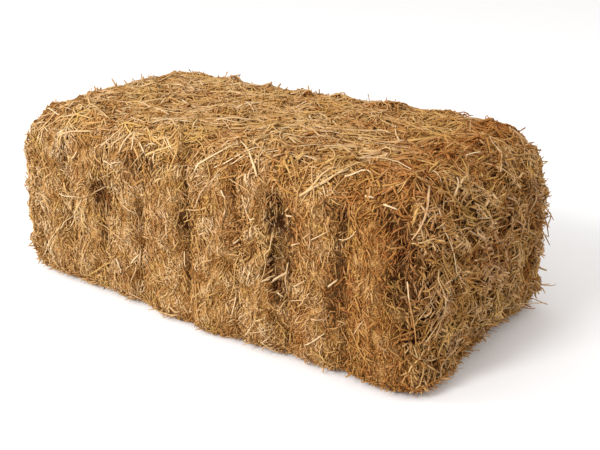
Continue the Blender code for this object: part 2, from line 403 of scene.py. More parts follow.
@dataclass(frozen=True)
class StemShape:
    """A stem of unit length along X and unit radius, modelled as by hand.

    Attributes:
        name: What the piece is called.
        spans: Stretches that it can bend between.
        sides: Sides of the tube.
        pointed: Whether it frays to a point at both ends, instead of being cut off square.
        tip: Radius of its last ring, where it is cut square.
        flatness: Its thickness as a share of its width.
        knuckle: How much wider its second ring is, as at a straw's node.
        ring_reach: How near a ring's place its vertices are, as a share of a span.
        cap_heights: Where the middles of its two end faces lie up its cell of the bake map.
        cap_half: The half width and half height of an end face there.
        across: Where its sides start across that cell, and how wide they are.
        along: Where they start up the cell, and how high they are.
    """

    name: str
    spans: int
    sides: int = 3
    pointed: bool = False
    tip: float = 1.0
    flatness: float = 1.0
    knuckle: float = 1.0
    ring_reach: float = 0.1
    cap_heights: tuple[float, float] = (0.05, 0.95)
    cap_half: tuple[float, float] = (0.35, 0.035)
    across: tuple[float, float] = (0.04, 0.92)
    along: tuple[float, float] = (0.12, 0.76)

    def model(self) -> StemMesh:
        """Models the stem with a cylinder that is cut into spans, then tapered and flattened.

        Returns:
            The stem as arrays.
        """
        deselect_all()
        bpy.ops.mesh.primitive_cylinder_add(
            vertices=self.sides,
            radius=1.0,
            depth=1.0,
            end_fill_type="NGON",
            location=(0.5, 0.0, 0.0),
            rotation=(0.0, math.pi / 2, 0.0),
        )
        stem = bpy.context.object
        stem.name = self.name
        bpy.ops.object.transform_apply(location=True, rotation=True, scale=True)
        for cut in range(1, self.spans):
            edit_vertices(stem, lambda place: True)
            bpy.ops.mesh.bisect(plane_co=(cut / self.spans, 0.0, 0.0), plane_no=(1.0, 0.0, 0.0))
        for ring in range(self.spans + 1):
            self._resize(stem, ring, (1.0, self.flatness))
        self._resize(stem, 1, (self.knuckle, self.knuckle))
        if self.pointed:
            for ring in (0, self.spans):
                self._select_ring(stem, ring)
                bpy.ops.mesh.merge(type="CENTER")
        else:
            self._resize(stem, self.spans, (self.tip, self.tip))
        bpy.ops.object.mode_set(mode="OBJECT")
        arrays = self._read(stem)
        bpy.data.objects.remove(stem)
        return arrays

    def _select_ring(self, stem: Piece, ring: int) -> None:
        """Enters edit mode with the stem's ring of this number selected."""
        at = ring / self.spans
        edit_vertices(stem, lambda place: abs(place.x - at) < self.ring_reach / self.spans)

    def _resize(self, stem: Piece, ring: int, scale: tuple[float, float]) -> None:
        """Resizes one ring across the stem.

        Args:
            stem: The stem's object.
            ring: The ring's number.
            scale: The factors along Y and Z.
        """
        if scale == (1.0, 1.0):
            return
        self._select_ring(stem, ring)
        bpy.ops.transform.resize(value=(1.0, *scale), center_override=(ring / self.spans, 0.0, 0.0))

    def _read(self, stem: Piece) -> StemMesh:
        """Reads the modelled stem into arrays.

        Args:
            stem: The stem's object, in object mode.

        Returns:
            Its arrays.
        """
        places = np.array([vertex.co[:] for vertex in stem.data.vertices])
        ring = np.rint(places[:, 0] * self.spans).astype(int)
        loops, sizes, cell, wrap = [], [], [], []
        for face in stem.data.polygons:
            corners = [int(v) for v in face.vertices]
            sizes.append(len(corners))
            loops += corners
            turns = np.array([math.atan2(places[v, 2] / self.flatness, places[v, 1]) for v in corners])
            turns = turns / (2 * math.pi) % 1.0
            if len(set(ring[corners])) == 1:
                height = self.cap_heights[0 if ring[corners[0]] == 0 else 1]
                wide, high = self.cap_half
                cell += [
                    (0.5 + wide * math.cos(2 * math.pi * t), height + high * math.sin(2 * math.pi * t))
                    for t in turns
                ]
                wrap += [0.5] * len(corners)
                continue
            on_axis = np.hypot(places[corners, 1], places[corners, 2]) < 1e-4
            round_it = turns[~on_axis]
            if round_it.max() - round_it.min() > 0.6:
                turns = np.where(turns < 0.4, turns + 1.0, turns)
                round_it = turns[~on_axis]
            first = round_it.min()
            turns = np.where(on_axis, round_it.mean(), turns)
            side = int(round(first * self.sides + 1e-6)) % self.sides
            shares = (side + (turns - first) * self.sides) / self.sides
            (left, width), (low, height) = self.across, self.along
            cell += [(left + width * share, low + height * places[v, 0]) for share, v in zip(shares, corners)]
            wrap += list(shares)
        return StemMesh(
            ring, places[:, 1:], places[:, 0], np.array(loops), np.array(sizes), np.array(cell), np.array(wrap)
        )


@dataclass(frozen=True)
class View:
    """Where the photograph was taken from.

    Attributes:
        azimuth: The bearing from -Y towards +X, in degrees.
        elevation: The height, in degrees.
        distance: The distance from what it aims at.
        aim: What it aims at.
        focal_px: The focal length in pixels of the frame.
    """

    azimuth: float = 36.52
    elevation: float = 21.09
    distance: float = 1.703
    aim: tuple[float, float, float] = (0.0636, 0.0, 0.1315)
    focal_px: float = 944.1

    @property
    def back(self) -> Vector:
        """The unit vector from the aim to the eye."""
        bearing, height = math.radians(self.azimuth), math.radians(self.elevation)
        flat = math.cos(height)
        return Vector((math.sin(bearing) * flat, -math.cos(bearing) * flat, math.sin(height)))

    @property
    def eye(self) -> Vector:
        """The place of the eye."""
        return Vector(self.aim) + self.back * self.distance

    def ray(self, across: float, down: float) -> Vector:
        """Gives the direction in which a pixel of the frame looks.

        Args:
            across: Pixels from the frame's left edge.
            down: Pixels from its top edge.

        Returns:
            A unit vector.
        """
        back = self.back
        right = Vector((0.0, 0.0, 1.0)).cross(back).normalized()
        up = back.cross(right)
        sight = right * (across - FRAME_WIDTH_PX / 2) + up * (FRAME_HEIGHT_PX / 2 - down)
        sight = sight - back * self.focal_px
        return sight.normalized()


VIEW = View()


@dataclass(frozen=True)
class Seam:
    """The joint between two flakes, as the plane x = place + turn * y + lean * z."""

    place: float
    turn: float
    lean: float
    weather_and_shade: float

    def distance(self, points: Array) -> Array:
        """Gives how far points are from the seam along the bale, in metres and signed."""
        return points[..., 0] - self.place - self.turn * points[..., 1] - self.lean * points[..., 2]


@dataclass
class Drift:
    """A slow, smooth wandering between about -1 and 1, made of a few waves."""

    wavelength: float
    seed: int
    waves: int = 7

    def __post_init__(self) -> None:
        """Draws the waves' directions and starts."""
        rng = np.random.default_rng(self.seed)
        heading = unit(rng.normal(size=(self.waves, 3)))
        self.pace = heading * (2 * math.pi / self.wavelength) * rng.uniform(0.7, 1.5, (self.waves, 1))
        self.start = rng.uniform(0, 2 * math.pi, self.waves)

    def at(self, points: Array) -> Array:
        """Gives the value at each place, with a spread of about one half."""
        return np.sin(points @ self.pace.T + self.start).sum(axis=-1) * math.sqrt(2 / self.waves) * 0.7


@dataclass(frozen=True)
class Patch:
    """A patch of straw that stands out in the photograph, by the pixels that it covers.

    Attributes:
        across: Pixels from the frame's left edge to its middle.
        down: Pixels from the frame's top edge.
        wide: Half its width in pixels.
        tall: Half its height in pixels.
        depth: How strong it is, from 0 to 1.
    """

    across: float
    down: float
    wide: float
    tall: float
    depth: float


# Patches where the straw is painted darker: damp straw in some, painted shade in others, such as along the
# rounded near edge and on the right of the end.
DAMP_AND_SHADE_PATCHES: tuple[Patch, ...] = tuple(
    Patch(*row)
    for row in (
        (433, 312, 7, 20, 0.75), (426, 262, 7, 18, 0.60), (474, 162, 16, 8, 0.55), (528, 215, 8, 42, 0.45),
        (478, 322, 9, 12, 0.45), (63, 158, 4, 24, 0.45), (65, 222, 4, 20, 0.45), (102, 160, 5, 13, 0.75),
        (104, 192, 4, 24, 0.85), (103, 236, 4, 18, 0.70), (143, 165, 8, 13, 0.65), (151, 162, 4, 18, 0.80),
        (138, 214, 4, 20, 0.50), (187, 155, 4, 16, 0.80), (187, 190, 3, 26, 0.75), (183, 222, 7, 24, 0.85),
        (187, 262, 3, 24, 0.50), (232, 188, 3, 24, 0.80), (231, 240, 3, 30, 0.40), (272, 205, 12, 12, 0.85),
        (277, 222, 7, 20, 1.00), (279, 258, 3, 34, 1.00), (276, 292, 6, 20, 0.95), (273, 320, 4, 12, 0.50),
        (334, 208, 12, 10, 0.55), (343, 222, 6, 18, 0.85), (338, 258, 3, 36, 0.85), (333, 300, 6, 32, 0.75),
        (384, 205, 12, 10, 0.65), (398, 222, 6, 22, 0.80), (404, 250, 5, 28, 0.85), (410, 290, 8, 36, 0.88),
        (420, 336, 9, 26, 0.85), (398, 183, 12, 8, 0.55), (440, 196, 10, 12, 0.85), (440, 240, 4, 22, 1.00),
        (433, 283, 5, 18, 1.00), (443, 298, 5, 10, 1.00), (487, 160, 6, 12, 1.00), (532, 192, 7, 14, 0.90),
        (508, 205, 6, 16, 0.60), (462, 222, 9, 14, 0.65), (463, 286, 7, 10, 0.90), (509, 285, 6, 13, 0.90),
        (519, 250, 5, 22, 0.95), (505, 246, 8, 14, 0.50), (485, 272, 9, 7, 0.40), (480, 330, 12, 8, 0.50),
        (455, 345, 7, 16, 0.60),
    )
)

FRESH_PATCHES: tuple[Patch, ...] = tuple(
    Patch(*row)
    for row in (
        (84, 165, 7, 20, 0.7), (120, 165, 7, 16, 1.0), (160, 160, 6, 14, 0.6), (215, 215, 9, 26, 0.9),
        (250, 235, 9, 50, 0.5), (250, 300, 16, 24, 0.6), (127, 245, 12, 11, 1.0), (90, 200, 8, 40, 0.5),
        (118, 190, 6, 14, 0.8), (45, 195, 10, 50, 0.4), (160, 140, 14, 12, 0.6), (210, 167, 13, 14, 0.8),
        (215, 280, 8, 14, 0.6), (390, 162, 30, 8, 0.7), (472, 192, 18, 14, 0.9), (428, 222, 7, 10, 0.8),
        (409, 290, 4, 12, 0.9), (470, 250, 14, 10, 0.5), (482, 310, 12, 10, 0.4), (405, 306, 5, 14, 0.9),
        (446, 205, 6, 10, 0.8), (429, 318, 5, 12, 0.9), (417, 370, 6, 8, 0.9), (448, 256, 5, 12, 0.8),
    )
)


@dataclass(frozen=True)
class PlacedStem:
    """A loose stem that stands out in the photograph, by the pixels that it passes.

    Attributes:
        path: Pixels of the frame from end to end, as across and down.
        width: Its width in pixels.
        tone: Its lightness.
        lift: How far it stands off the other straw, in metres.
    """

    path: tuple[tuple[float, float], ...]
    width: float
    tone: float
    lift: float = 1.5 * MM


PLACED_STEMS: tuple[PlacedStem, ...] = tuple(
    PlacedStem(*row)
    for row in (
        (((271, 135), (298, 126)), 2.8, 0.90), (((213, 167), (240, 156), (268, 148)), 2.4, 0.85),
        (((266, 152), (300, 151), (332, 148)), 2.4, 0.85), (((228, 165), (258, 152)), 2.0, 0.80),
        (((180, 101), (199, 109)), 2.6, 0.90), (((205, 122), (232, 127)), 2.4, 0.90),
        (((165, 127), (210, 128)), 1.8, 0.85), (((365, 143), (392, 147), (424, 151)), 2.0, 0.84),
        (((345, 177), (374, 175)), 3.6, 0.90),
        (((355, 158), (380, 167), (390, 162), (408, 163), (418, 185)), 2.4, 0.88, 4 * MM),
        (((384, 205), (398, 210)), 3.2, 0.84),
        (((436, 210), (442, 228), (450, 252), (455, 285)), 2.0, 0.85, 6 * MM),
        (((440, 225), (448, 242), (458, 261)), 2.2, 0.80, 6 * MM),
        (((441, 262), (449, 285), (458, 298)), 2.6, 0.55, 5 * MM),
        (((463, 161), (482, 154)), 2.8, 0.95, 4 * MM), (((497, 278), (505, 268)), 2.0, 0.90),
        (((478, 218), (500, 212)), 1.8, 0.92), (((487, 222), (493, 221)), 3.0, 0.84),
        (((474, 260), (483, 259)), 2.4, 0.90), (((491, 238), (500, 260)), 1.8, 0.75),
        (((456, 178), (455, 195)), 3.2, 0.85), (((429, 171), (441, 183)), 2.2, 0.85),
        (((490, 320), (500, 302), (512, 281)), 1.8, 0.60, 3 * MM),
        (((517, 283), (551, 283)), 1.4, 0.50, 3 * MM),
        (((516, 304), (534, 307), (543, 301)), 1.8, 0.85, 2 * MM), (((514, 309), (536, 309)), 1.8, 0.45),
        (((524, 296), (543, 301)), 1.8, 0.50), (((534, 222), (550, 209)), 1.6, 0.40),
        (((530, 204), (541, 218), (547, 236)), 2.0, 0.35),
        (((529, 209), (538, 226), (545, 244)), 2.0, 0.30),
        (((533, 202), (544, 214), (549, 230)), 2.0, 0.45),
        (((527, 213), (536, 228), (541, 246)), 1.8, 0.40),
        (((531, 199), (543, 208), (547, 219)), 2.0, 0.50),
        (((305, 344), (315, 340), (325, 333)), 2.4, 0.90), (((287, 215), (293, 216)), 3.0, 0.84),
        (((365, 196), (374, 198)), 3.8, 0.84), (((329, 286), (338, 279)), 3.0, 0.84),
        (((278, 292), (284, 297)), 3.4, 0.84), (((238, 295), (235, 313)), 2.0, 0.84),
        (((222, 190), (227, 198)), 3.0, 0.90), (((311, 240), (329, 231)), 1.8, 0.80),
        (((295, 286), (306, 280)), 1.8, 0.85), (((292, 245), (300, 243)), 2.4, 0.84),
        (((288, 301), (303, 300)), 1.6, 0.85), (((289, 262), (287, 282), (289, 300)), 1.6, 0.85),
        (((248, 279), (252, 271)), 3.2, 0.84), (((339, 239), (349, 240), (356, 231)), 1.8, 0.85),
        (((250, 330), (275, 327)), 1.6, 0.80), (((234, 243), (241, 238)), 2.6, 0.90),
        (((131, 150), (134, 141), (136, 131)), 2.2, 0.84), (((139, 142), (147, 154)), 2.4, 0.90),
        (((107, 160), (114, 166)), 2.2, 0.92), (((60, 193), (79, 197)), 1.8, 0.88),
        (((132, 263), (141, 253)), 2.4, 0.90), (((185, 251), (187, 266)), 2.0, 0.84),
        (((72, 159), (77, 151)), 2.2, 0.84), (((148, 122), (164, 119), (177, 127)), 1.8, 0.92),
        (((47, 108), (61, 116)), 2.2, 0.90), (((408, 281), (410, 300)), 2.2, 0.90),
        (((353, 335), (364, 320)), 1.6, 0.75),
    )
)


@dataclass(frozen=True)
class Swell:
    """A place where the straw stands higher or lower than the pressed block, as the photograph shows it.

    Attributes:
        place: Its middle.
        reach: Its half sizes along X, Y and Z.
        height: How much higher the straw stands, in metres.
    """

    place: Place
    reach: Place
    height: float


SWELLS: tuple[Swell, ...] = tuple(
    Swell(*row)
    for row in (
        ((0.16, 0.22, 0.33), (0.22, 0.09, 0.05), 9 * MM),
        ((-0.46, -0.20, 0.31), (0.07, 0.09, 0.07), -15 * MM),
        ((-0.46, -0.20, 0.14), (0.05, 0.06, 0.06), 6 * MM),
        ((0.02, -0.23, 0.02), (0.13, 0.05, 0.05), 13 * MM),
        ((0.46, 0.02, 0.02), (0.06, 0.12, 0.05), -15 * MM),
        ((0.46, 0.21, 0.06), (0.05, 0.05, 0.06), 12 * MM), ((0.46, 0.22, 0.24), (0.05, 0.05, 0.06), 3 * MM),
    )
)


@dataclass
class Skin:
    """The outside of the whole bale, which the stems follow.

    Attributes:
        nodes: The flakes' solids by name.
        edge_radius: The radius of the edges of the plain block that it is near, in metres.
        end_reach: How near an end a face along X is an outer one, in metres.
        seam_normal: The least share along X of a normal between two flakes.
        flat_normal: The least such share on the flat of a face.
        face_depth: How far back from its foremost place a flake's face is read, in metres.
        fit_rounds: How often a seam's plane is fitted, each time without its lowest places.
        fit_percent: How many of the places are left out each time, in per cent at most.
        fit_reach: How far under the plane a place has to lie for that, in metres.
        soft: How much of the facet's and of the plain block's direction an outward direction has.
        groove_reach: The half width of the groove at a seam, in metres.
        patchy: The usual darkness of a seam and how much it changes along the seam.
        seam_step: How far apart the seams read that change, in metres.
        seam_width: The half width of a dry seam's dark line, and how much wider a damp one's is, in mm.
        stray: How far those lines stray, in metres.
        seen_share: How dark they are on the photographed side, where patches stand for most of them.
        spot_reach: The half size of a patch through the skin, in metres.
        spot_stray: How far the edge of a patch strays, as a share of its size.
        spot_edge: How sharp that edge is.
        seam_weather_and_shade: How dampened each seam is, which sets how dark its line of dampness and painted
            shade is, from the -X end.
    """

    nodes: dict[str, Piece]
    edge_radius: float = 0.075
    end_reach: float = 0.035
    seam_normal: float = 0.93
    flat_normal: float = 0.985
    face_depth: float = 0.06
    fit_rounds: int = 6
    fit_percent: float = 15
    fit_reach: float = 2.0 * MM
    soft: tuple[float, float] = (0.35, 0.65)
    groove_reach: float = 15 * MM
    patchy: tuple[float, float] = (0.45, 0.55)
    seam_step: float = 0.37
    seam_width: tuple[float, float] = (5, 6)
    stray: float = 4 * MM
    seen_share: float = 0.35
    spot_reach: float = 45 * MM
    spot_stray: float = 0.3
    spot_edge: float = 1.5
    seam_weather_and_shade: tuple[float, ...] = (0.3, 0.3, 0.4, 0.6, 0.75, 0.4, 1.0, 1.0, 0.8)

    def __post_init__(self) -> None:
        """Reads the flakes' triangles and finds the seams between them."""
        low, high = (np.array(corner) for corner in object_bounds())
        self.middle = (low + high) / 2
        self.half = (high - low) / 2
        triangles, owners = [], []
        for number, name in enumerate(sorted(self.nodes)):
            mesh = self.nodes[name].data
            mesh.calc_loop_triangles()
            places = np.array([v.co[:] for v in mesh.vertices])
            faces = np.array([t.vertices[:] for t in mesh.loop_triangles])
            triangles.append(places[faces])
            owners.append(np.full(len(faces), number))
        corners = np.concatenate(triangles)
        owner = np.concatenate(owners)
        facing = unit(np.cross(corners[:, 1] - corners[:, 0], corners[:, 2] - corners[:, 0]))
        inner = (np.abs(facing[:, 0]) > self.seam_normal) & ~self.near_end(corners.mean(axis=1))
        self.seams = self._seams(corners, owner, facing, inner)
        self.corners, self.owner, self.facing = corners[~inner], owner[~inner], facing[~inner]
        edges = self.corners[:, 1:] - self.corners[:, :1]
        self.area = np.linalg.norm(np.cross(edges[:, 0], edges[:, 1]), axis=1) / 2
        flat = self.corners.reshape(-1, 3)
        self.tree = BVHTree.FromPolygons(
            [Vector(p) for p in flat], [(i, i + 1, i + 2) for i in range(0, len(flat), 3)]
        )
        self.seam_drift = Drift(0.075, 41, 9)
        self.damp_and_shade_spots = self._spots(DAMP_AND_SHADE_PATCHES)
        self.fresh_spots = self._spots(FRESH_PATCHES)

    def near_end(self, places: Array) -> Array:
        """Says which places lie near one of the bale's two ends."""
        return np.abs(places[:, 0] - self.middle[0]) > self.half[0] - self.end_reach

    def _spots(self, patches: Sequence[Patch]) -> list[tuple[Array, Array, float]]:
        """Finds patches of the photograph on the skin.

        Args:
            patches: The patches, by pixels.

        Returns:
            For each one its middle, one over its half sizes along X, Y and Z, and its depth.
        """
        spots = []
        for spot in patches:
            middle, facing, _, distance = self.tree.ray_cast(VIEW.eye, VIEW.ray(spot.across, spot.down))
            if middle is None:
                continue
            per_px = distance / VIEW.focal_px
            on_end = abs(facing.x) > abs(facing.y)
            turned = VIEW.back.y if on_end else VIEW.back.x
            half = [spot.wide * per_px / math.sqrt(1 - turned**2), self.spot_reach]
            if on_end:
                half.reverse()
            spots.append((np.array(middle), 1 / np.array([*half, spot.tall * per_px]), spot.depth))
        return spots

    def _seams(self, corners: Array, owner: Array, facing: Array, inner: Array) -> list[Seam]:
        """Fits a plane to the inner face of each flake but the last.

        Args:
            corners: Corner points of all triangles.
            owner: The flake's number of each triangle.
            facing: The unit normal of each triangle.
            inner: Whether each triangle lies between two flakes.

        Returns:
            The seams, from the -X end.
        """
        seams = []
        for number, weather_and_shade in enumerate(self.seam_weather_and_shade):
            face = corners[(owner == number) & inner & (facing[:, 0] > self.flat_normal)].reshape(-1, 3)
            face = face[face[:, 0] > face[:, 0].max() - self.face_depth]
            for _ in range(self.fit_rounds):
                terms = np.column_stack([np.ones(len(face)), face[:, 1], face[:, 2]])
                plane = np.linalg.lstsq(terms, face[:, 0], rcond=None)[0]
                miss = face[:, 0] - terms @ plane
                face = face[miss > min(-self.fit_reach, np.percentile(miss, self.fit_percent))]
            seams.append(Seam(*(float(value) for value in plane), weather_and_shade))
        return seams

    def sample(self, flake: int, per_m2: float, rng: Chance) -> tuple[Array, Array]:
        """Scatters points over a flake's outside.

        Args:
            flake: The flake's number from 0.
            per_m2: How many points fall on a square metre.
            rng: The source of chance.

        Returns:
            The points, and the triangles' normals there.
        """
        own = np.flatnonzero(self.owner == flake)
        share = self.area[own] / self.area[own].sum()
        count = int(round(per_m2 * self.area[own].sum()))
        pick = own[rng.choice(len(own), size=count, p=share)]
        first, second = rng.random(count), rng.random(count)
        folded = first + second > 1
        first, second = np.where(folded, 1 - first, first), np.where(folded, 1 - second, second)
        start, right, left = (self.corners[pick, corner] for corner in range(3))
        points = start + first[:, None] * (right - start) + second[:, None] * (left - start)
        return points, self.facing[pick]

    def round_normal(self, points: Array) -> Array:
        """Gives the outward direction of a plain block with rounded edges, near its surface.

        Args:
            points: Places, with XYZ along the last axis.

        Returns:
            Unit vectors.
        """
        offset = points - self.middle
        reach = np.abs(offset) - (self.half - self.edge_radius)
        over = np.maximum(reach, 0.0)
        deepest = reach == reach.max(axis=-1, keepdims=True)
        over = np.where(over.sum(axis=-1, keepdims=True) < 1e-6, deepest * 1.0, over)
        return unit(over * np.sign(offset))

    def drape(self, points: Array) -> tuple[Array, Array]:
        """Finds the nearest places on the skin, with a softened outward direction.

        Args:
            points: Places, with XYZ along the last axis.

        Returns:
            The nearest places, and unit vectors out of the skin there.
        """
        flat = points.reshape(-1, 3)
        near = np.empty_like(flat)
        facing = np.empty_like(flat)
        for i, place in enumerate(flat.tolist()):
            near[i], facing[i], _, _ = self.tree.find_nearest(place)
        own, smooth = self.soft
        out = unit(own * facing + smooth * self.round_normal(near))
        return near.reshape(points.shape), out.reshape(points.shape)

    def hollow(self, points: Array) -> tuple[Array, Array]:
        """Says where the grooves at the seams are, and how much of each the loose straw fills up.

        Args:
            points: Places, with XYZ along the last axis.

        Returns:
            How far into a groove each place is, from 0 to 1, and the share of it that is filled.
        """
        near = np.zeros(points.shape[:-1])
        fill = np.zeros(points.shape[:-1])
        for seam in self.seams:
            here = np.exp(-((seam.distance(points) / self.groove_reach) ** 2))
            fill = np.where(here > near, 1 - seam.weather_and_shade, fill)
            near = np.maximum(near, here)
        return near, fill

    def damp_and_shade(self, points: Array) -> Array:
        """Says how dark the straw is painted, by the seams and in the listed spots, from 0 to 1: partly
        dampness and weathering, partly painted shade in the grooves and where the light falls off.

        Args:
            points: Places, with XYZ along the last axis.

        Returns:
            The weathering at each place.
        """
        wander = self.seam_drift.at(points)
        dark = np.zeros(points.shape[:-1])
        seen = np.where(points[..., 1] < self.middle[1], self.seen_share, 1.0)
        usual, change = self.patchy
        width, wider = self.seam_width
        for number, seam in enumerate(self.seams):
            patch = usual + change * self.seam_drift.at(points + (0.0, self.seam_step * number, 0.0))
            away = (seam.distance(points) + self.stray * wander) / ((width + wider * seam.weather_and_shade) * MM)
            dark = np.maximum(dark, seen * seam.weather_and_shade * np.clip(patch, 0.0, 1.0) * np.exp(-(away**2)))
        return np.maximum(dark, self._spread(self.damp_and_shade_spots, points, wander))

    def fresh(self, points: Array) -> Array:
        """Says how bright and dry the straw is at each place, in the fresh patches, from 0 to 1."""
        return self._spread(self.fresh_spots, points, self.seam_drift.at(points))

    def _spread(self, spots: Sequence[tuple[Array, Array, float]], points: Array, wander: Array) -> Array:
        """Gives how strong spots are at each place, with ragged edges.

        Args:
            spots: The middle, one over the half sizes and the depth of each spot.
            points: Places, with XYZ along the last axis.
            wander: How far the spots' edges stray there.

        Returns:
            Values from 0 to 1.
        """
        value = np.zeros(points.shape[:-1])
        for middle, over_half, depth in spots:
            away = (points - middle) * over_half
            away[..., 0] += self.spot_stray * wander
            value = np.maximum(value, depth * np.exp(-((away**2).sum(axis=-1) ** self.spot_edge)))
        return value

    def cast(self, path: Sequence[tuple[float, float]], count: int) -> tuple[Array, int]:
        """Throws a line of pixels onto the skin, and past its outline at the same distance.

        Args:
            path: Pixels of the frame from end to end, starting on the bale.
            count: How many places to give.

        Returns:
            The places, and the number of the flake where the line starts.
        """
        pixels = np.array(path, float)
        run = np.concatenate([[0.0], np.cumsum(np.linalg.norm(np.diff(pixels, axis=0), axis=1))])
        at = np.linspace(0.0, run[-1], count)
        places, flake, reach = [], 0, VIEW.distance
        pairs = zip(np.interp(at, run, pixels[:, 0]), np.interp(at, run, pixels[:, 1]))
        for step, (across, down) in enumerate(pairs):
            ray = VIEW.ray(across, down)
            _, _, triangle, distance = self.tree.ray_cast(VIEW.eye, ray)
            if triangle is not None:
                reach = distance
                flake = flake if step else int(self.owner[triangle])
            places.append(np.array(VIEW.eye + ray * reach))
        line = np.array(places)
        line[1:-1] = 0.5 * line[1:-1] + 0.25 * (line[:-2] + line[2:])
        return line, flake

    def swell(self, points: Array) -> Array:
        """Says how much higher the straw stands than the pressed block.

        Args:
            points: Places, with XYZ along the last axis.

        Returns:
            Heights in metres.
        """
        height = np.zeros(points.shape[:-1])
        for swell in SWELLS:
            away = (points - np.array(swell.place)) / np.array(swell.reach)
            height += swell.height * np.exp(-(away**2).sum(axis=-1))
        return height


@dataclass(frozen=True)
class Lays:
    """How the straw lies, and what it looks like, with a value for the top, the side, the end and the base.

    Attributes:
        ordered: The share that follow the zone's direction.
        spread: How far those stray from it, in degrees.
        swirl: How far whole patches turn from it, in radians.
        tuft: How high the tufts stand, in metres.
        groove: How much straw fills the grooves at the seams, in metres.
        always_filled: The share of that fill which even a loose, damp seam gets.
        cracks: How open the cracks between tufts are, from 0 to 1.
        stubs: Cut ends that stand up, as a share of each kind's own.
        thickness: How thick the stems are, as a share of each kind's own.
        tone: Lightness that the zone adds.
        patches: How much lighter the tufts are painted than the hollows, as painted light and shade.
        pale_share: The share of bleached stems.
        ruddy: Redness that the zone adds.
        yellow: Yellowness that the zone adds.
        variety: How much the stems differ in lightness, as a share of the usual.
        palest: The lightest that a stem is there.
        depth: How much deeper the pressed body lies under the loose straw, in metres.
        shade: How much painted shade darkens the pressed body under it, from 0 to 1.
    """

    ordered: ByZone = (0.52, 0.74, 0.80, 0.5)
    spread: ByZone = (38.0, 28.0, 24.0, 35.0)
    swirl: ByZone = (0.9, 0.6, 1.5, 0.5)
    tuft: ByZone = (2.2 * MM, 1.9 * MM, 6.0 * MM, 0.0)
    groove: ByZone = (7 * MM, 9 * MM, 0.0, 0.0)
    always_filled: ByZone = (1.0, 0.0, 0.0, 0.0)
    cracks: ByZone = (0.28, 0.25, 1.0, 0.0)
    stubs: ByZone = (0.6, 0.9, 2.4, 1.2)
    thickness: ByZone = (1.30, 1.08, 1.12, 1.1)
    tone: ByZone = (-0.085, -0.01, 0.0, -0.02)
    patches: ByZone = (0.04, 0.065, 0.19, 0.0)
    pale_share: ByZone = (0.09, 0.05, 0.13, 0.05)
    ruddy: ByZone = (0.0, 0.0, 0.27, 0.0)
    yellow: ByZone = (0.0, 0.0, 0.16, 0.0)
    variety: ByZone = (0.54, 0.40, 1.1, 0.6)
    palest: ByZone = (0.90, 0.88, 0.80, 0.80)
    depth: ByZone = (-1.5 * MM, -1.5 * MM, 4 * MM, 0.0)
    shade: ByZone = (0.0, 0.0, 0.75, 0.0)


def by_zone(name: str) -> Array:
    """Lists one field of the lays in the order of the zone numbers."""
    return np.array(getattr(Lays, name))


@dataclass(frozen=True)
class StrawKind:
    """One kind of loose straw, and how it lies.

    Attributes:
        shape: The stem that is modelled for it.
        per_m2: Pieces on a square metre of top, side, end and base.
        length: Shortest and longest, in metres.
        radius: Thinnest and thickest, in metres.
        depth: Lowest and highest place of its ends against the skin, in metres.
        bow: Typical sideways bow, as a share of the length.
        arch: Typical rise of its middle over its ends, as a share of the length.
        wave: Typical sideways sway the other way at each end, as a share of the length.
        stubs: Share that stand out of the skin as cut ends.
        pale: Lightness that the kind adds.
        loose: How many more lie where the straw is loose and damp, as a share.
    """

    shape: StemShape
    per_m2: ByZone
    length: tuple[float, float]
    radius: tuple[float, float]
    depth: tuple[float, float]
    bow: float
    arch: float
    wave: float = 0.0
    stubs: float = 0.0
    pale: float = 0.0
    loose: float = 0.0


KINDS: tuple[StrawKind, ...] = (
    StrawKind(
        StemShape("chaff", 2, pointed=True),
        per_m2=(34000, 72000, 38000, 21000),
        length=(6 * MM, 17 * MM),
        radius=(0.85 * MM, 1.5 * MM),
        depth=(-4.5 * MM, 0.0),
        bow=0.13,
        arch=0.10,
        stubs=0.10,
        loose=-0.75,
    ),
    StrawKind(
        StemShape("curl", 4, pointed=True),
        per_m2=(5500, 1800, 3000, 2200),
        length=(14 * MM, 30 * MM),
        radius=(0.75 * MM, 1.3 * MM),
        depth=(-3 * MM, 1 * MM),
        bow=0.13,
        arch=0.07,
        wave=0.05,
        stubs=0.08,
        pale=0.03,
        loose=2.2,
    ),
    StrawKind(
        StemShape("split_straw", 2, tip=0.85, flatness=0.4),
        per_m2=(10000, 6500, 22000, 5000),
        length=(9 * MM, 28 * MM),
        radius=(0.9 * MM, 2.1 * MM),
        depth=(-3 * MM, 1 * MM),
        bow=0.07,
        arch=0.05,
        stubs=0.20,
        pale=0.05,
    ),
    StrawKind(
        StemShape("long_stem", 5, tip=0.7, knuckle=1.25),
        per_m2=(3300, 140, 800, 300),
        length=(40 * MM, 105 * MM),
        radius=(0.85 * MM, 1.45 * MM),
        depth=(-2.5 * MM, 2.0 * MM),
        bow=0.05,
        arch=0.01,
        wave=0.02,
        pale=0.10,
        loose=1.0,
    ),
    StrawKind(
        StemShape("leaf_blade", 4, pointed=True, flatness=0.25, knuckle=0.7),
        per_m2=(2300, 650, 3200, 200),
        length=(20 * MM, 50 * MM),
        radius=(1.4 * MM, 2.6 * MM),
        depth=(-3 * MM, 1 * MM),
        bow=0.11,
        arch=0.03,
        wave=0.06,
        pale=0.05,
        loose=1.0,
    ),
)


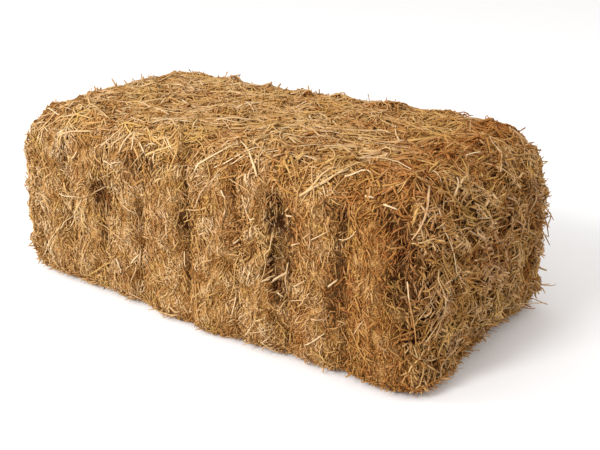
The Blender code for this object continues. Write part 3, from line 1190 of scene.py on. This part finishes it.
@dataclass
class StrawBatch:
    """Stems of one kind, laid on one flake.

    Attributes:
        mesh: The modelled stem.
        line: The middle of each ring of each stem.
        out: The direction away from the bale at each ring.
        radius: Each stem's radius.
        length: Each stem's length.
        marks: Each stem's tone, ruddy, yellow and weather values.
        roll: How far each is turned about its own length, in radians.
    """

    mesh: StemMesh
    line: Array
    out: Array
    radius: Array
    length: Array
    marks: dict[str, Array]
    roll: Array

    def vertices(self) -> Array:
        """Bends the modelled stem along every line.

        Returns:
            The places of all vertices, stem by stem.
        """
        heading = unit(np.gradient(self.line, axis=1))
        across = unit(np.cross(self.out, heading))
        up = np.cross(heading, across)
        turn, tilt = np.cos(self.roll)[:, None, None], np.sin(self.roll)[:, None, None]
        wide, high = self.mesh.offset[:, 0][None, :, None], self.mesh.offset[:, 1][None, :, None]
        ring = self.mesh.ring
        side = (wide * turn - high * tilt) * across[:, ring]
        rise = (wide * tilt + high * turn) * up[:, ring]
        return (self.line[:, ring] + self.radius[:, None, None] * (side + rise)).reshape(-1, 3)


@dataclass
class Ground:
    """Where the stems of a batch start.

    Attributes:
        points: Their places on the skin.
        out: Outward directions there.
        zone: Zone numbers.
        loose: How open the straw is there, from 0 to 1.
    """

    points: Array
    out: Array
    zone: Array
    loose: Array

    def own(self, name: str) -> Array:
        """Lists one field of the lays, stem by stem."""
        return by_zone(name)[self.zone]


@dataclass(frozen=True)
class Colouring:
    """How a stem's colour marks, which run from 0 to 1, depend on its place and on chance.

    Attributes:
        tone: The usual lightness.
        paler: How much lighter a bleached stem is.
        darker: How much lighter a browned one is, which is less than nothing.
        not_browned: The share of stems that aren't browned.
        scatter: How much all others differ.
        rise: How much lighter stems are for each metre that they lie higher, as painted shade on the deeper
            ones.
        level: How far under the skin they have the usual lightness, in metres.
        drift: How much whole stretches differ.
        fresh: How much lighter the fresh patches are.
        washed: The share of stems that dampness and painted shade don't darken.
        damp_and_shade: How much darker dampness and painted shade make the others, and these.
        open: How much darker stems are where the straw lies open, as painted shade in the cracks and seams.
        damp_on_flat: The share of that darkening by dampness and painted shade that shows on the top and the
            base.
        ruddy: How much the redness differs, by stretch and by stem.
        least_ruddy: The redness added to all.
        pale_ruddy: How much less of it a kind has for its added lightness.
        ripe: How much yellower ripe stretches are.
        ripe_from: Where those stretches begin.
        yellow: How much the yellowness differs by stem.
        yellow_drift: How much less of it red stretches have.
        least_yellow: The yellowness added to all.
        weather_and_shade: The least and the most weathering and painted shade of a stem by the seams and
            patches, as a share of how dark these are.
        dry_weather: The most weathering anywhere.
        most: The most redness, yellowness and weathering.
    """

    tone: float = 0.52
    paler: tuple[float, float] = (0.12, 0.34)
    darker: tuple[float, float] = (-0.42, -0.15)
    not_browned: float = 0.88
    scatter: float = 0.09
    rise: float = 12.0
    level: float = 2 * MM
    drift: float = 0.05
    fresh: float = 0.09
    washed: float = 0.45
    damp_and_shade: tuple[float, float] = (0.30, -0.06)
    open: float = 0.10
    damp_on_flat: float = 0.25
    ruddy: float = 0.10
    least_ruddy: float = -0.05
    pale_ruddy: float = 5.0
    ripe: float = 0.5
    ripe_from: float = 0.75
    yellow: float = 0.12
    yellow_drift: float = -0.08
    least_yellow: float = -0.04
    weather_and_shade: tuple[float, float] = (0.075, 0.75)
    dry_weather: float = 0.08
    most: Place = (0.6, 0.7, 0.9)


@dataclass
class Thatch:
    """Lays the loose straw on the flakes.

    Attributes:
        skin: What the straw lies on.
        meshes: The modelled stem of each kind.
        colouring: How the stems are coloured.
        soft: How much of the facet's and of the plain block's direction a stem's outward direction has.
        lump: The share of the lumps, which are wider than the tufts, in the straw's relief.
        crack_width: How wide the cracks between tufts are.
        crack_patches: How open they are at the least, and how much more on the lumps.
        loose_sink: How far stems sink where the straw is loose, in metres.
        flake_tone: Lightness that each flake adds.
        flake_ruddy: Redness that each flake adds.
        floor_gap: How far over the floor the lowest straw lies, in metres.
        floor_press: Up to what height the weight of the bale presses straw down, in metres.
        top_lay: The way that straw mostly lies on the top.
        base_lay: The way that it mostly lies on the base.
        flat_roll: How far flat kinds are turned about their length, in radians.
        stub_lean: How far cut ends lean out, in degrees.
        stub_reach: How long they are, in millimetres.
        stub_bow: How much they bow, as a share of that.
        stub_root: How deep they start, in metres.
        skirt_height: Up to what height cut ends stand out along the floor, in metres.
        skirt_stubs: How many more of them there are.
        skirt_lean: How much further they lean out, in radians.
        placed_gap: How far the listed stems lie over the others, in metres.
        placed_bends: The power of the smooth curve that they follow.
        placed_radius: Their radius as a share of their width in the photograph.
        placed_tone: Their lightness as a share of the one given.
        placed_roll: How far they are turned about their length, in radians.
        placed_marks: Their other colour marks.
        map_step: How far the maps of neighbouring stems are shifted.
    """

    skin: Skin
    meshes: dict[str, StemMesh] = field(default_factory=dict)
    colouring: Colouring = Colouring()
    tuft_drift: Drift = field(default_factory=lambda: Drift(0.034, 31, 11))
    lump_drift: Drift = field(default_factory=lambda: Drift(0.085, 17, 9))
    crack_drift: Drift = field(default_factory=lambda: Drift(0.062, 52, 11))
    tone_drift: Drift = field(default_factory=lambda: Drift(0.10, 3))
    hue_drift: Drift = field(default_factory=lambda: Drift(0.13, 5))
    ripe_drift: Drift = field(default_factory=lambda: Drift(0.045, 77, 9))
    flow_drift: Drift = field(default_factory=lambda: Drift(0.075, 8, 9))
    soft: tuple[float, float] = (0.4, 0.6)
    lump: float = 0.7
    crack_width: float = 0.14
    crack_patches: tuple[float, float] = (0.6, 0.8)
    loose_sink: float = 3 * MM
    flake_tone: tuple[float, ...] = (0.03, 0.06, 0.05, 0.05, 0.03, 0.02, 0.04, 0.0, -0.12, -0.01)
    flake_ruddy: tuple[float, ...] = (0.0, 0.0, 0.02, 0.04, 0.05, 0.05, 0.05, 0.14, 0.26, 0.16)
    floor_gap: float = 0.3 * MM
    floor_press: float = 4 * MM
    top_lay: Place = (0.94, 0.34, 0.0)
    base_lay: Place = (0.4, 0.1, 1.0)
    flat_roll: float = 0.6
    stub_lean: tuple[float, float] = (15, 60)
    stub_reach: tuple[float, float] = (12, 26)
    stub_bow: float = 0.12
    stub_root: float = 5 * MM
    skirt_height: float = 22 * MM
    skirt_stubs: float = 6.0
    skirt_lean: float = 0.3
    placed_gap: float = 1.0 * MM
    placed_bends: int = 3
    placed_radius: float = 0.31
    placed_tone: float = 0.92
    placed_roll: float = 0.7
    placed_marks: tuple[tuple[str, float], ...] = (("ruddy", 0.04), ("yellow", 0.05), ("weather_and_shade", 0.02))
    map_step: float = 0.137

    def model_stems(self) -> None:
        """Models one stem of each kind."""
        for kind in KINDS:
            self.meshes[kind.shape.name] = kind.shape.model()
            LOG.info("modelled %s, %d triangles", kind.shape.name, self.meshes[kind.shape.name].triangles)

    def lay(self, kind: StrawKind, flake: int, rng: Chance) -> StrawBatch:
        """Lays one kind of straw on one flake.

        Args:
            kind: The kind of straw.
            flake: The flake's number from 0.
            rng: The source of chance.

        Returns:
            The stems as they lie.
        """
        mesh = self.meshes[kind.shape.name]
        ground = self._ground(kind, flake, rng)
        count = len(ground.points)
        heading = self._headings(ground, rng)
        length = rng.uniform(*kind.length, count)
        radius = rng.uniform(*kind.radius, count) * ground.own("thickness")
        depth = rng.uniform(*kind.depth, count)
        share = np.linspace(-0.5, 0.5, mesh.rings)
        side = np.cross(ground.out, heading)
        bow = rng.normal(0, kind.bow, count)[:, None] * (4 * share**2 - 0.3)
        wave = rng.normal(0, kind.wave, count)[:, None] * np.sin(2 * math.pi * share)
        reach = (length[:, None] * share)[:, :, None] * heading[:, None]
        bowed = (length[:, None] * (bow + wave))[:, :, None] * side[:, None]
        near, away = self.skin.drape(ground.points[:, None] + reach + bowed)
        arch = np.abs(rng.normal(0, kind.arch, count))[:, None] * (1 - 4 * share**2)
        sunk = self.loose_sink * (ground.loose * rng.uniform(0, 2, count))[:, None]
        rise = depth[:, None] + length[:, None] * arch + self.relief(near, away) - sunk
        if mesh.rings > 4:
            rise[:, 1:-1] = 0.5 * rise[:, 1:-1] + 0.25 * (rise[:, :-2] + rise[:, 2:])
        line = near + away * rise[:, :, None]
        self._stand_stubs(kind, line, ground, heading, length, rng)
        marks = self._marks(kind, ground, depth, flake, rng)
        roll = rng.uniform(0, 2 * math.pi, count)
        if kind.shape.flatness < 0.5:
            roll = rng.normal(0, self.flat_roll, count)
        return StrawBatch(mesh, line, away, radius, length, marks, roll)

    def _ground(self, kind: StrawKind, flake: int, rng: Chance) -> Ground:
        """Scatters stems over a flake, as densely as the kind lies in each zone.

        Args:
            kind: The kind of straw.
            flake: The flake's number from 0.
            rng: The source of chance.

        Returns:
            Where they start.
        """
        densest = max(kind.per_m2) * (1 + max(kind.loose, 0.0))
        points, facing = self.skin.sample(flake, densest, rng)
        smooth = self.skin.round_normal(points)
        out = unit(self.soft[0] * facing + self.soft[1] * smooth)
        zone = self._zones(smooth, rng)
        loose = self.looseness(points, out)
        kept = rng.random(len(points)) * densest < np.array(kind.per_m2)[zone] * (1 + kind.loose * loose)
        return Ground(points[kept], out[kept], zone[kept], loose[kept])

    def tufts(self, points: Array) -> Array:
        """Says how high the tufts and lumps stand at each place, mostly between -1 and 1."""
        return self.tuft_drift.at(points) + self.lump * self.lump_drift.at(points)

    def relief(self, points: Array, out: Array) -> Array:
        """Gives how far tufts stand over the skin, and how far straw fills the grooves at the seams.

        Args:
            points: Places, with XYZ along the last axis.
            out: Outward directions there.

        Returns:
            Heights in metres.
        """
        shares = self.shares(out)
        height = (shares @ by_zone("tuft")) * self.tufts(points)
        near, fill = self.skin.hollow(points)
        fill = np.maximum(fill, shares @ by_zone("always_filled"))
        return height + near * fill * (shares @ by_zone("groove")) + self.skin.swell(points)

    def looseness(self, points: Array, out: Array) -> Array:
        """Says how open the straw is, in the damp grooves and in the cracks between tufts, from 0 to 1.

        Args:
            points: Places, with XYZ along the last axis.
            out: Outward directions there.

        Returns:
            The looseness at each place.
        """
        crack = np.exp(-((self.crack_drift.at(points) / self.crack_width) ** 2))
        least, more = self.crack_patches
        patchy = np.clip(least + more * self.lump_drift.at(points), 0, 1)
        damp_and_shade = self.skin.damp_and_shade(points) * (1 - out[..., 2] ** 2)
        return np.maximum(damp_and_shade, crack * patchy * (self.shares(out) @ by_zone("cracks")))

    def shares(self, out: Array) -> Array:
        """Gives how much each place belongs to each zone.

        Args:
            out: Outward directions.

        Returns:
            Shares along the last axis, in the order of the zone numbers.
        """
        weight = out**2
        up = out[..., 2] > 0
        return np.stack([weight[..., 2] * up, weight[..., 1], weight[..., 0], weight[..., 2] * ~up], axis=-1)

    def _zones(self, smooth: Array, rng: Chance) -> Array:
        """Gives each place its zone, mixed by chance over the rounded edges.

        Args:
            smooth: Outward directions.
            rng: The source of chance.

        Returns:
            Zone numbers.
        """
        weight = smooth**2
        draw = rng.random(len(smooth))
        zone = np.full(len(smooth), Zone.END.value)
        zone[draw > weight[:, 0]] = Zone.SIDE.value
        upright = draw > weight[:, 0] + weight[:, 1]
        zone[upright] = np.where(smooth[upright, 2] > 0, Zone.TOP.value, Zone.BASE.value)
        return zone

    def _headings(self, ground: Ground, rng: Chance) -> Array:
        """Gives each stem its direction in the skin.

        Args:
            ground: Where the stems start.
            rng: The source of chance.

        Returns:
            Unit vectors in the skin.
        """
        count, out = len(ground.points), ground.out
        axis = np.array([self.top_lay, (0.0, 0.0, 1.0), (0.0, 0.0, 1.0), self.base_lay])[ground.zone]
        axis = unit(axis - out * (axis * out).sum(axis=1, keepdims=True))
        shadow = self.skin.damp_and_shade(ground.points) * (ground.zone == Zone.SIDE.value)
        turn = np.radians(ground.own("spread")) * rng.normal(size=count)
        follows = rng.random(count) < ground.own("ordered")
        turn = np.where(follows, turn, rng.uniform(-math.pi / 2, math.pi / 2, count))
        turn += ground.own("swirl") * (1 - 0.5 * shadow) * self.flow_drift.at(ground.points)
        turn += math.pi * (rng.random(count) < 0.5)
        return axis * np.cos(turn)[:, None] + np.cross(out, axis) * np.sin(turn)[:, None]

    def _stand_stubs(
        self, kind: StrawKind, line: Array, ground: Ground, heading: Array, length: Array, rng: Chance
    ) -> None:
        """Turns some stems out of the skin, as cut ends that stand up from it, or out along the floor.

        Args:
            kind: The kind of straw.
            line: The stems' lines, which this changes.
            ground: Where the stems start.
            heading: The stems' directions.
            length: The stems' lengths.
            rng: The source of chance.
        """
        points, out = ground.points, ground.out
        low = points[:, 2] < self.skirt_height
        often = kind.stubs * ground.own("stubs") * np.where(low, self.skirt_stubs, 1.0)
        stub = rng.random(len(points)) < often
        count = stub.sum()
        away = unit(out * np.column_stack([np.ones((len(points), 2)), ~low]))[stub]
        lean = np.radians(rng.uniform(*self.stub_lean, count))[:, None]
        lean = lean + self.skirt_lean * low[stub][:, None]
        way = heading[stub] * np.cos(lean) + away * np.sin(lean)
        side = np.cross(out, heading)[stub]
        height = self.relief(points[stub], out[stub]) - self.stub_root
        root = points[stub] + out[stub] * height[:, None]
        reach = np.minimum(length[stub], rng.uniform(*self.stub_reach, count) * MM)
        share = np.linspace(0, 1, line.shape[1])
        bow = (rng.normal(0, self.stub_bow, count) * reach)[:, None] * (share - share**2) * 4
        straight = root[:, None] + way[:, None] * (reach[:, None] * share)[:, :, None]
        line[stub] = straight + side[:, None] * bow[:, :, None]

    def _marks(
        self, kind: StrawKind, ground: Ground, depth: Array, flake: int, rng: Chance
    ) -> dict[str, Array]:
        """Gives each stem its colour marks.

        Args:
            kind: The kind of straw.
            ground: Where the stems start.
            depth: How far over the skin each lies.
            flake: The flake's number from 0.
            rng: The source of chance.

        Returns:
            Tone, ruddy, yellow and weather values from 0 to 1.
        """
        use, points, count = self.colouring, ground.points, len(ground.points)
        upright = (ground.zone == Zone.SIDE.value) | (ground.zone == Zone.END.value)
        shadow = self.skin.damp_and_shade(points) * np.where(upright, 1.0, use.damp_on_flat)
        tone = use.tone + kind.pale + ground.own("tone") + self.flake_tone[flake]
        chance = rng.random(count)
        odd = np.where(chance < ground.own("pale_share"), rng.uniform(*use.paler, count), 0.0)
        odd = np.where(chance > use.not_browned, rng.uniform(*use.darker, count), odd)
        odd = odd + rng.normal(0, use.scatter, count)
        # Stems lying deeper get a darker tone: painted shade.
        tone = tone + ground.own("variety") * odd + use.rise * (depth + use.level)
        # Stems on the tufts get a lighter tone than those in the hollows: painted light and shade.
        tone = tone + use.drift * self.tone_drift.at(points) + self.tufts(points) * ground.own("patches")
        tone = tone + use.fresh * self.skin.fresh(points)
        # The seams, the dark patches and the cracks darken stems: dampness, and painted shade.
        tone = tone - shadow * np.where(chance > use.washed, *use.damp_and_shade) - use.open * ground.loose
        hue = self.hue_drift.at(points)
        ruddy = self.flake_ruddy[flake] + ground.own("ruddy") + use.least_ruddy
        ruddy = ruddy + use.ruddy * hue + rng.exponential(use.ruddy, count)
        ripe = use.ripe * np.maximum(self.ripe_drift.at(points) - use.ripe_from, 0)
        yellow = ground.own("yellow") + rng.exponential(use.yellow, count) + ripe + use.least_yellow
        # The weathering mark carries the same dampness and painted shade, and some dry weathering.
        weather_and_shade = shadow * rng.uniform(*use.weather_and_shade, count) + use.dry_weather * rng.random(count)
        most_ruddy, most_yellow, most_weather = use.most
        return {
            "tone": np.clip(tone, 0, ground.own("palest")),
            "ruddy": np.clip(ruddy * (1 - use.pale_ruddy * kind.pale), 0, most_ruddy),
            "yellow": np.clip(yellow + use.yellow_drift * hue, 0, most_yellow),
            "weather_and_shade": np.clip(weather_and_shade, 0, most_weather),
        }

    def place(self, flake: int) -> list[StrawBatch]:
        """Lays the stems that stand out in the photograph, where they start on this flake.

        Args:
            flake: The flake's number from 0.

        Returns:
            One batch of stems, or none.
        """
        mesh = self.meshes["long_stem"]
        cast = [(stem, *self.skin.cast(stem.path, mesh.rings)) for stem in PLACED_STEMS]
        own = [(stem, line) for stem, line, owner in cast if owner == flake]
        if not own:
            return []
        line = np.array([places for _, places in own])
        _, away = self.skin.drape(line)
        share = np.linspace(-1.0, 1.0, mesh.rings)
        lift = np.array([stem.lift for stem, _ in own])[:, None] * (1 - share**2)
        line = line + away * (self.relief(line, away) + self.placed_gap + lift)[:, :, None]
        terms = np.stack([share**power for power in range(self.placed_bends + 1)], axis=1)
        line = np.einsum("ij,sjk->sik", terms @ np.linalg.pinv(terms), line)
        distance = np.linalg.norm(line.mean(axis=1) - np.array(VIEW.eye), axis=1)
        radius = np.array([stem.width for stem, _ in own]) * self.placed_radius * distance / VIEW.focal_px
        length = np.linalg.norm(np.diff(line, axis=1), axis=2).sum(axis=1)
        even = np.ones(len(own))
        marks = {name: value * even for name, value in self.placed_marks}
        marks["tone"] = self.placed_tone * np.array([stem.tone for stem, _ in own])
        return [StrawBatch(mesh, line, away, radius, length, marks, self.placed_roll * even)]

    def _on_floor(self, height: Array) -> Array:
        """Presses straw that would reach through the floor into a thin mat on it.

        Args:
            height: Heights over the floor.

        Returns:
            Heights that all lie over the floor gap, in the same order.
        """
        pressed = np.exp((np.minimum(height, self.floor_press) - self.floor_press) / self.floor_press)
        low = self.floor_gap + (self.floor_press - self.floor_gap) * pressed
        return np.where(height < self.floor_press, low, height)

    def weave(self, name: str, batches: Sequence[StrawBatch], sheet: tuple[float, float]) -> Piece:
        """Makes one mesh object of all the stems laid on a flake.

        Args:
            name: The object's name.
            batches: The stems, kind by kind.
            sheet: Lowest and highest share of the bake map's height that the stems take.

        Returns:
            The object.
        """
        places, loops, sizes, cells, stem_uv = [], [], [], [], []
        marks: dict[str, list[Array]] = {name: [] for name in MARKS}
        total = sum(len(batch.radius) for batch in batches)
        low, high = sheet
        columns = int(math.ceil(math.sqrt(total / (high - low))))
        rows = int(math.ceil(total / columns))
        cell_size = np.array([1 / columns, (high - low) / rows])
        first_vertex = first_stem = 0
        for batch in batches:
            count = len(batch.radius)
            mesh = batch.mesh
            vertices = batch.vertices()
            vertices[:, 2] = self._on_floor(vertices[:, 2])
            places.append(vertices)
            starts = first_vertex + np.arange(count) * len(mesh.ring)
            loops.append((starts[:, None] + mesh.loops).ravel())
            sizes.append(np.tile(mesh.sizes, count))
            number = first_stem + np.arange(count)
            corner = np.column_stack([number % columns, number // columns]) * cell_size + (0.0, low)
            cells.append((corner[:, None] + mesh.cell[None] * cell_size).reshape(-1, 2))
            run = batch.length[:, None] * mesh.along[mesh.loops][None]
            start = (number * self.map_step)[:, None]
            wrap = np.broadcast_to(mesh.wrap, run.shape)
            stem_uv.append(np.stack([wrap + start, run + start], axis=-1).reshape(-1, 2))
            for key, values in marks.items():
                values.append(np.repeat(batch.marks[key], len(mesh.ring)))
            first_vertex += count * len(mesh.ring)
            first_stem += count
        data = bpy.data.meshes.new(name)
        flat_places = np.concatenate(places)
        flat_loops = np.concatenate(loops)
        flat_sizes = np.concatenate(sizes)
        data.vertices.add(len(flat_places))
        data.vertices.foreach_set("co", flat_places.astype(np.float32).ravel())
        data.loops.add(len(flat_loops))
        data.loops.foreach_set("vertex_index", flat_loops.astype(np.int32))
        data.polygons.add(len(flat_sizes))
        data.polygons.foreach_set("loop_start", (np.cumsum(flat_sizes) - flat_sizes).astype(np.int32))
        data.update(calc_edges=True)
        data.polygons.foreach_set("use_smooth", np.ones(len(flat_sizes), dtype=bool))
        store_marks(data, {name: np.concatenate(values) for name, values in marks.items()})
        for map_name, values in (("OFBake", cells), ("StemUV", stem_uv)):
            layer = data.uv_layers.new(name=map_name)
            layer.data.foreach_set("uv", np.concatenate(values).astype(np.float32).ravel())
        data.update()
        piece = bpy.data.objects.new(name, data)
        bpy.context.scene.collection.objects.link(piece)
        return piece


@dataclass
class Flake:
    """One flake: its pressed body with the loose straw on it, as one piece.

    Attributes:
        number: The flake's number from 0.
        node: The solid that it stands for.
        thatch: What lays the straw.
        body_depth: How far the pressed body lies under the skin, in metres.
        hole_depth: How much deeper it lies where the straw is loose, in metres.
        deepest: The most that it is sunk, in metres.
        highest: The most that it is raised, in metres.
        body_grain: The size of its faces, in metres.
        weld: How near vertices are merged, in metres.
        inner_normal: The least share along X of a normal against the next flake.
        flat_bend: How far faces there bend before they are merged, in degrees.
        map_bend: How far the faces of one island of its map bend, in degrees.
        map_gap: The gaps between those islands and over them, as shares of the bake map.
        body_sheet: The share of the bake map's height for the body.
        hole_shade: How dark the body is painted where the straw is loose, as painted shade in the cracks and
            seams.
        usual_tone: Its usual lightness.
        tuft_tone: How much that is lighter under the tufts than in the hollows, as painted light and shade.
        seed: The start of chance.
    """

    number: int
    node: Piece
    thatch: Thatch
    body_depth: float = 4 * MM
    hole_depth: float = 9 * MM
    deepest: float = 30 * MM
    highest: float = 12 * MM
    body_grain: float = 8 * MM
    weld: float = 0.01 * MM
    inner_normal: float = 0.9
    flat_bend: float = 12
    map_bend: float = 66
    map_gap: tuple[float, float] = (0.004, 0.01)
    body_sheet: float = 0.2
    hole_shade: float = 1.3
    usual_tone: float = 0.5
    tuft_tone: float = 0.3
    seed: int = 2140

    @property
    def name(self) -> str:
        """The piece's name."""
        return f"{self.node.name}_straw"

    def build(self, finishes: Sequence[bpy.types.Material]) -> Piece:
        """Makes the flake's piece and dresses it.

        Args:
            finishes: The pressed straw and the loose straw.

        Returns:
            The finished piece.
        """
        pressed, loose = finishes
        rng = np.random.default_rng(self.seed + self.number)
        batches = [self.thatch.lay(kind, self.number, rng) for kind in KINDS]
        batches += self.thatch.place(self.number)
        body = self._pressed_body()
        body.data.materials.clear()
        body.data.materials.append(pressed)
        straw = self.thatch.weave(self.name, batches, (self.body_sheet, 1.0))
        straw.data.materials.append(loose)
        deselect_all()
        body.select_set(True)
        straw.select_set(True)
        bpy.context.view_layer.objects.active = straw
        bpy.ops.object.join()
        straw.data.shade_smooth()
        return straw

    def _pressed_body(self) -> Piece:
        """Models the pressed body from the flake's solid, a little smaller than it.

        Returns:
            The body's object.
        """
        deselect_all()
        self.node.select_set(True)
        bpy.context.view_layer.objects.active = self.node
        bpy.ops.object.duplicate()
        body = bpy.context.object
        body.name = f"{self.name}_body"
        for key in list(body.keys()):
            del body[key]
        body.parent = None
        edit_vertices(body, lambda place: True)
        bpy.ops.mesh.remove_doubles(threshold=self.weld)
        bpy.ops.mesh.normals_make_consistent(inside=False)
        bpy.ops.object.mode_set(mode="OBJECT")
        grain = body.modifiers.new("grain", "REMESH")
        grain.mode = "VOXEL"
        grain.voxel_size = self.body_grain
        bpy.ops.object.modifier_apply(modifier=grain.name)
        self._sink(body)
        inner = self._inner_faces(body)
        edit_vertices(body, lambda place: False)
        bpy.ops.object.mode_set(mode="OBJECT")
        body.data.vertices.foreach_set("select", inner)
        bpy.ops.object.mode_set(mode="EDIT")
        bpy.ops.mesh.dissolve_limited(angle_limit=math.radians(self.flat_bend))
        bpy.ops.mesh.select_all(action="SELECT")
        bpy.ops.uv.smart_project(angle_limit=math.radians(self.map_bend), island_margin=self.map_gap[0])
        bpy.ops.object.mode_set(mode="OBJECT")
        self._name_maps(body)
        self._mark(body)
        return body

    def _inner_faces(self, body: Piece) -> Array:
        """Finds the vertices that lie against the next flake.

        Args:
            body: The pressed body.

        Returns:
            For each vertex, whether it does.
        """
        places, facing = vertex_arrays(body)
        return (np.abs(facing[:, 0]) > self.inner_normal) & ~self.thatch.skin.near_end(places)

    def _sink(self, body: Piece) -> None:
        """Sinks the body under the skin, less where the straw stands high and more in the seams.

        Args:
            body: The pressed body.
        """
        places, _ = vertex_arrays(body)
        out = self.thatch.skin.round_normal(places)
        loose = self.thatch.looseness(places, out)
        deeper = self.thatch.shares(out) @ by_zone("depth")
        swell = self.thatch.skin.swell(places)
        flat = self.thatch.relief(places, out) - swell
        depth = np.maximum(self.body_depth + deeper + self.hole_depth * loose - flat, 0) - swell
        free = ~self._inner_faces(body)
        for run in (-self.deepest, self.highest):
            group = body.vertex_groups.new(name="sink")
            for number, weight in enumerate(np.clip(-depth / run, 0, 1) * free):
                group.add([number], float(weight), "REPLACE")
            sink = body.modifiers.new("sink", "DISPLACE")
            sink.vertex_group = group.name
            sink.mid_level = 0.0
            sink.strength = run
            bpy.ops.object.modifier_apply(modifier=sink.name)
            body.vertex_groups.clear()
        for vertex in body.data.vertices:
            vertex.co.z = max(vertex.co.z, 0.0)

    def _mark(self, body: Piece) -> None:
        """Marks how dark the body is painted at each vertex: near black as painted shade in the cracks, the
        seams and over the end, with dampness in the seams, and lighter under the tufts.

        Args:
            body: The pressed body.
        """
        thatch = self.thatch
        places, _ = vertex_arrays(body)
        out = thatch.skin.round_normal(places)
        # Painted shade in the cracks and seams, with dampness there too, and over the whole end.
        dark = self.hole_shade * thatch.looseness(places, out) ** self.hole_shade
        # Lighter under the tufts than in the hollows: painted light and shade.
        tone = self.usual_tone + self.tuft_tone * thatch.tuft_drift.at(places)
        tone = tone + thatch.flake_tone[self.number]
        marks = {
            "weather_and_shade": np.clip(dark + thatch.shares(out) @ by_zone("shade"), 0, 1),
            "tone": np.clip(tone, 0, 1),
        }
        store_marks(body.data, marks)

    def _name_maps(self, body: Piece) -> None:
        """Puts the body's own map in the lower strip of the bake map.

        Args:
            body: The pressed body.
        """
        maps = body.data.uv_layers
        while len(maps) > 1:
            maps.remove(maps[1])
        maps[0].name = "OFBake"
        places = np.empty(len(body.data.loops) * 2, np.float32)
        maps[0].data.foreach_get("uv", places)
        places = places.reshape(-1, 2) * (1.0, self.body_sheet - self.map_gap[1])
        maps[0].data.foreach_set("uv", places.astype(np.float32).ravel())


@dataclass
class Bale:
    """The whole bale.

    Attributes:
        nodes: The flakes' solids by name.
        subparts: What the frame says of each; not used.
    """

    nodes: dict[str, Piece]
    subparts: list[dict[str, str]]

    def build(self) -> list[Piece]:
        """Builds every flake and hands it to the frame.

        Returns:
            The flakes' pieces.
        """
        thatch = Thatch(Skin(self.nodes))
        thatch.model_stems()
        finishes = (PressedFinish().material(), StrawFinish().material())
        pieces = []
        for number, name in enumerate(sorted(self.nodes)):
            piece = Flake(number, self.nodes[name], thatch).build(finishes)
            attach(piece, "root")
            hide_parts(name)
            triangles = sum(len(face.vertices) - 2 for face in piece.data.polygons)
            LOG.info("%s: %d triangles", piece.name, triangles)
            pieces.append(piece)
        return pieces


@dataclass(frozen=True)
class Studio:
    """White floor, soft light from the upper left, and the camera."""

    floor_size: float = 30.0
    sky: float = 0.98
    wall: float = 0.885
    sky_colour: str = "#FFFBF6"
    lamp_size: float = 1.3
    lamps: tuple[tuple[str, tuple[float, float, float], float], ...] = (
        ("key_light", (-0.4, -3.3, 2.3), 95.0),
        ("left_light", (-2.9, -2.2, 1.9), 60.0),
    )

    def build(self) -> None:
        """Makes the floor, the world, the light and the camera."""
        self._floor()
        self._world()
        for name, place, power in self.lamps:
            self._lamp(name, place, power)
        self._camera()

    def _floor(self) -> None:
        """Lays the floor, which is no part of the object."""
        deselect_all()
        bpy.ops.mesh.primitive_plane_add(size=self.floor_size, location=(0.0, 0.0, 0.0))
        floor = bpy.context.object
        floor.name = "studio_floor"
        floor.data.materials.append(FloorFinish().material())
        floor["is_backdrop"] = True

    def _world(self) -> None:
        """Makes an even white surround that lights the bale softly."""
        world = bpy.data.worlds.new("white_surround")
        world.use_nodes = True
        tree = world.node_tree
        tree.nodes.clear()
        light = add_node(tree, "ShaderNodeBackground", Color=linear(self.sky_colour), Strength=self.sky)
        wall = add_node(tree, "ShaderNodeBackground", Color=(1.0, 1.0, 1.0, 1.0), Strength=self.wall)
        seen = add_node(tree, "ShaderNodeLightPath").outputs["Is Camera Ray"]
        both = add_node(tree, "ShaderNodeMixShader", in0=seen, in1=light.outputs[0], in2=wall.outputs[0])
        add_node(tree, "ShaderNodeOutputWorld", Surface=both.outputs[0])
        bpy.context.scene.world = world

    def _lamp(self, name: str, place: Place, power: float) -> None:
        """Hangs one soft round light that faces the bale.

        Args:
            name: The light's name.
            place: Where it hangs.
            power: Its power in watts.
        """
        deselect_all()
        bpy.ops.object.light_add(type="AREA", location=place)
        lamp = bpy.context.object
        lamp.name = name
        lamp.data.energy = power
        lamp.data.shape = "DISK"
        lamp.data.size = self.lamp_size
        lamp.rotation_euler = (Vector((0.0, 0.0, 0.15)) - lamp.location).to_track_quat("-Z", "Y").to_euler()

    def _camera(self) -> None:
        """Sets the camera where the photograph was taken from."""
        deselect_all()
        bpy.ops.object.camera_add(location=VIEW.eye)
        camera = bpy.context.object
        camera.name = "camera"
        camera.rotation_euler = VIEW.back.to_track_quat("Z", "Y").to_euler()
        camera.data.sensor_width = SENSOR_MM
        camera.data.lens = VIEW.focal_px * SENSOR_MM / FRAME_WIDTH_PX
        camera.data.clip_start = 0.05
        bpy.context.scene.camera = camera


def main() -> None:
    """Builds the bale and its studio."""
    logging.basicConfig(level=logging.INFO, format="%(name)s: %(message)s")
    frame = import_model()
    Studio().build()
    Bale(frame["nodes"], frame["record"]["subparts"]).build()
    bpy.context.scene.view_settings.view_transform = "Standard"


if __name__ == "__main__":
    main()
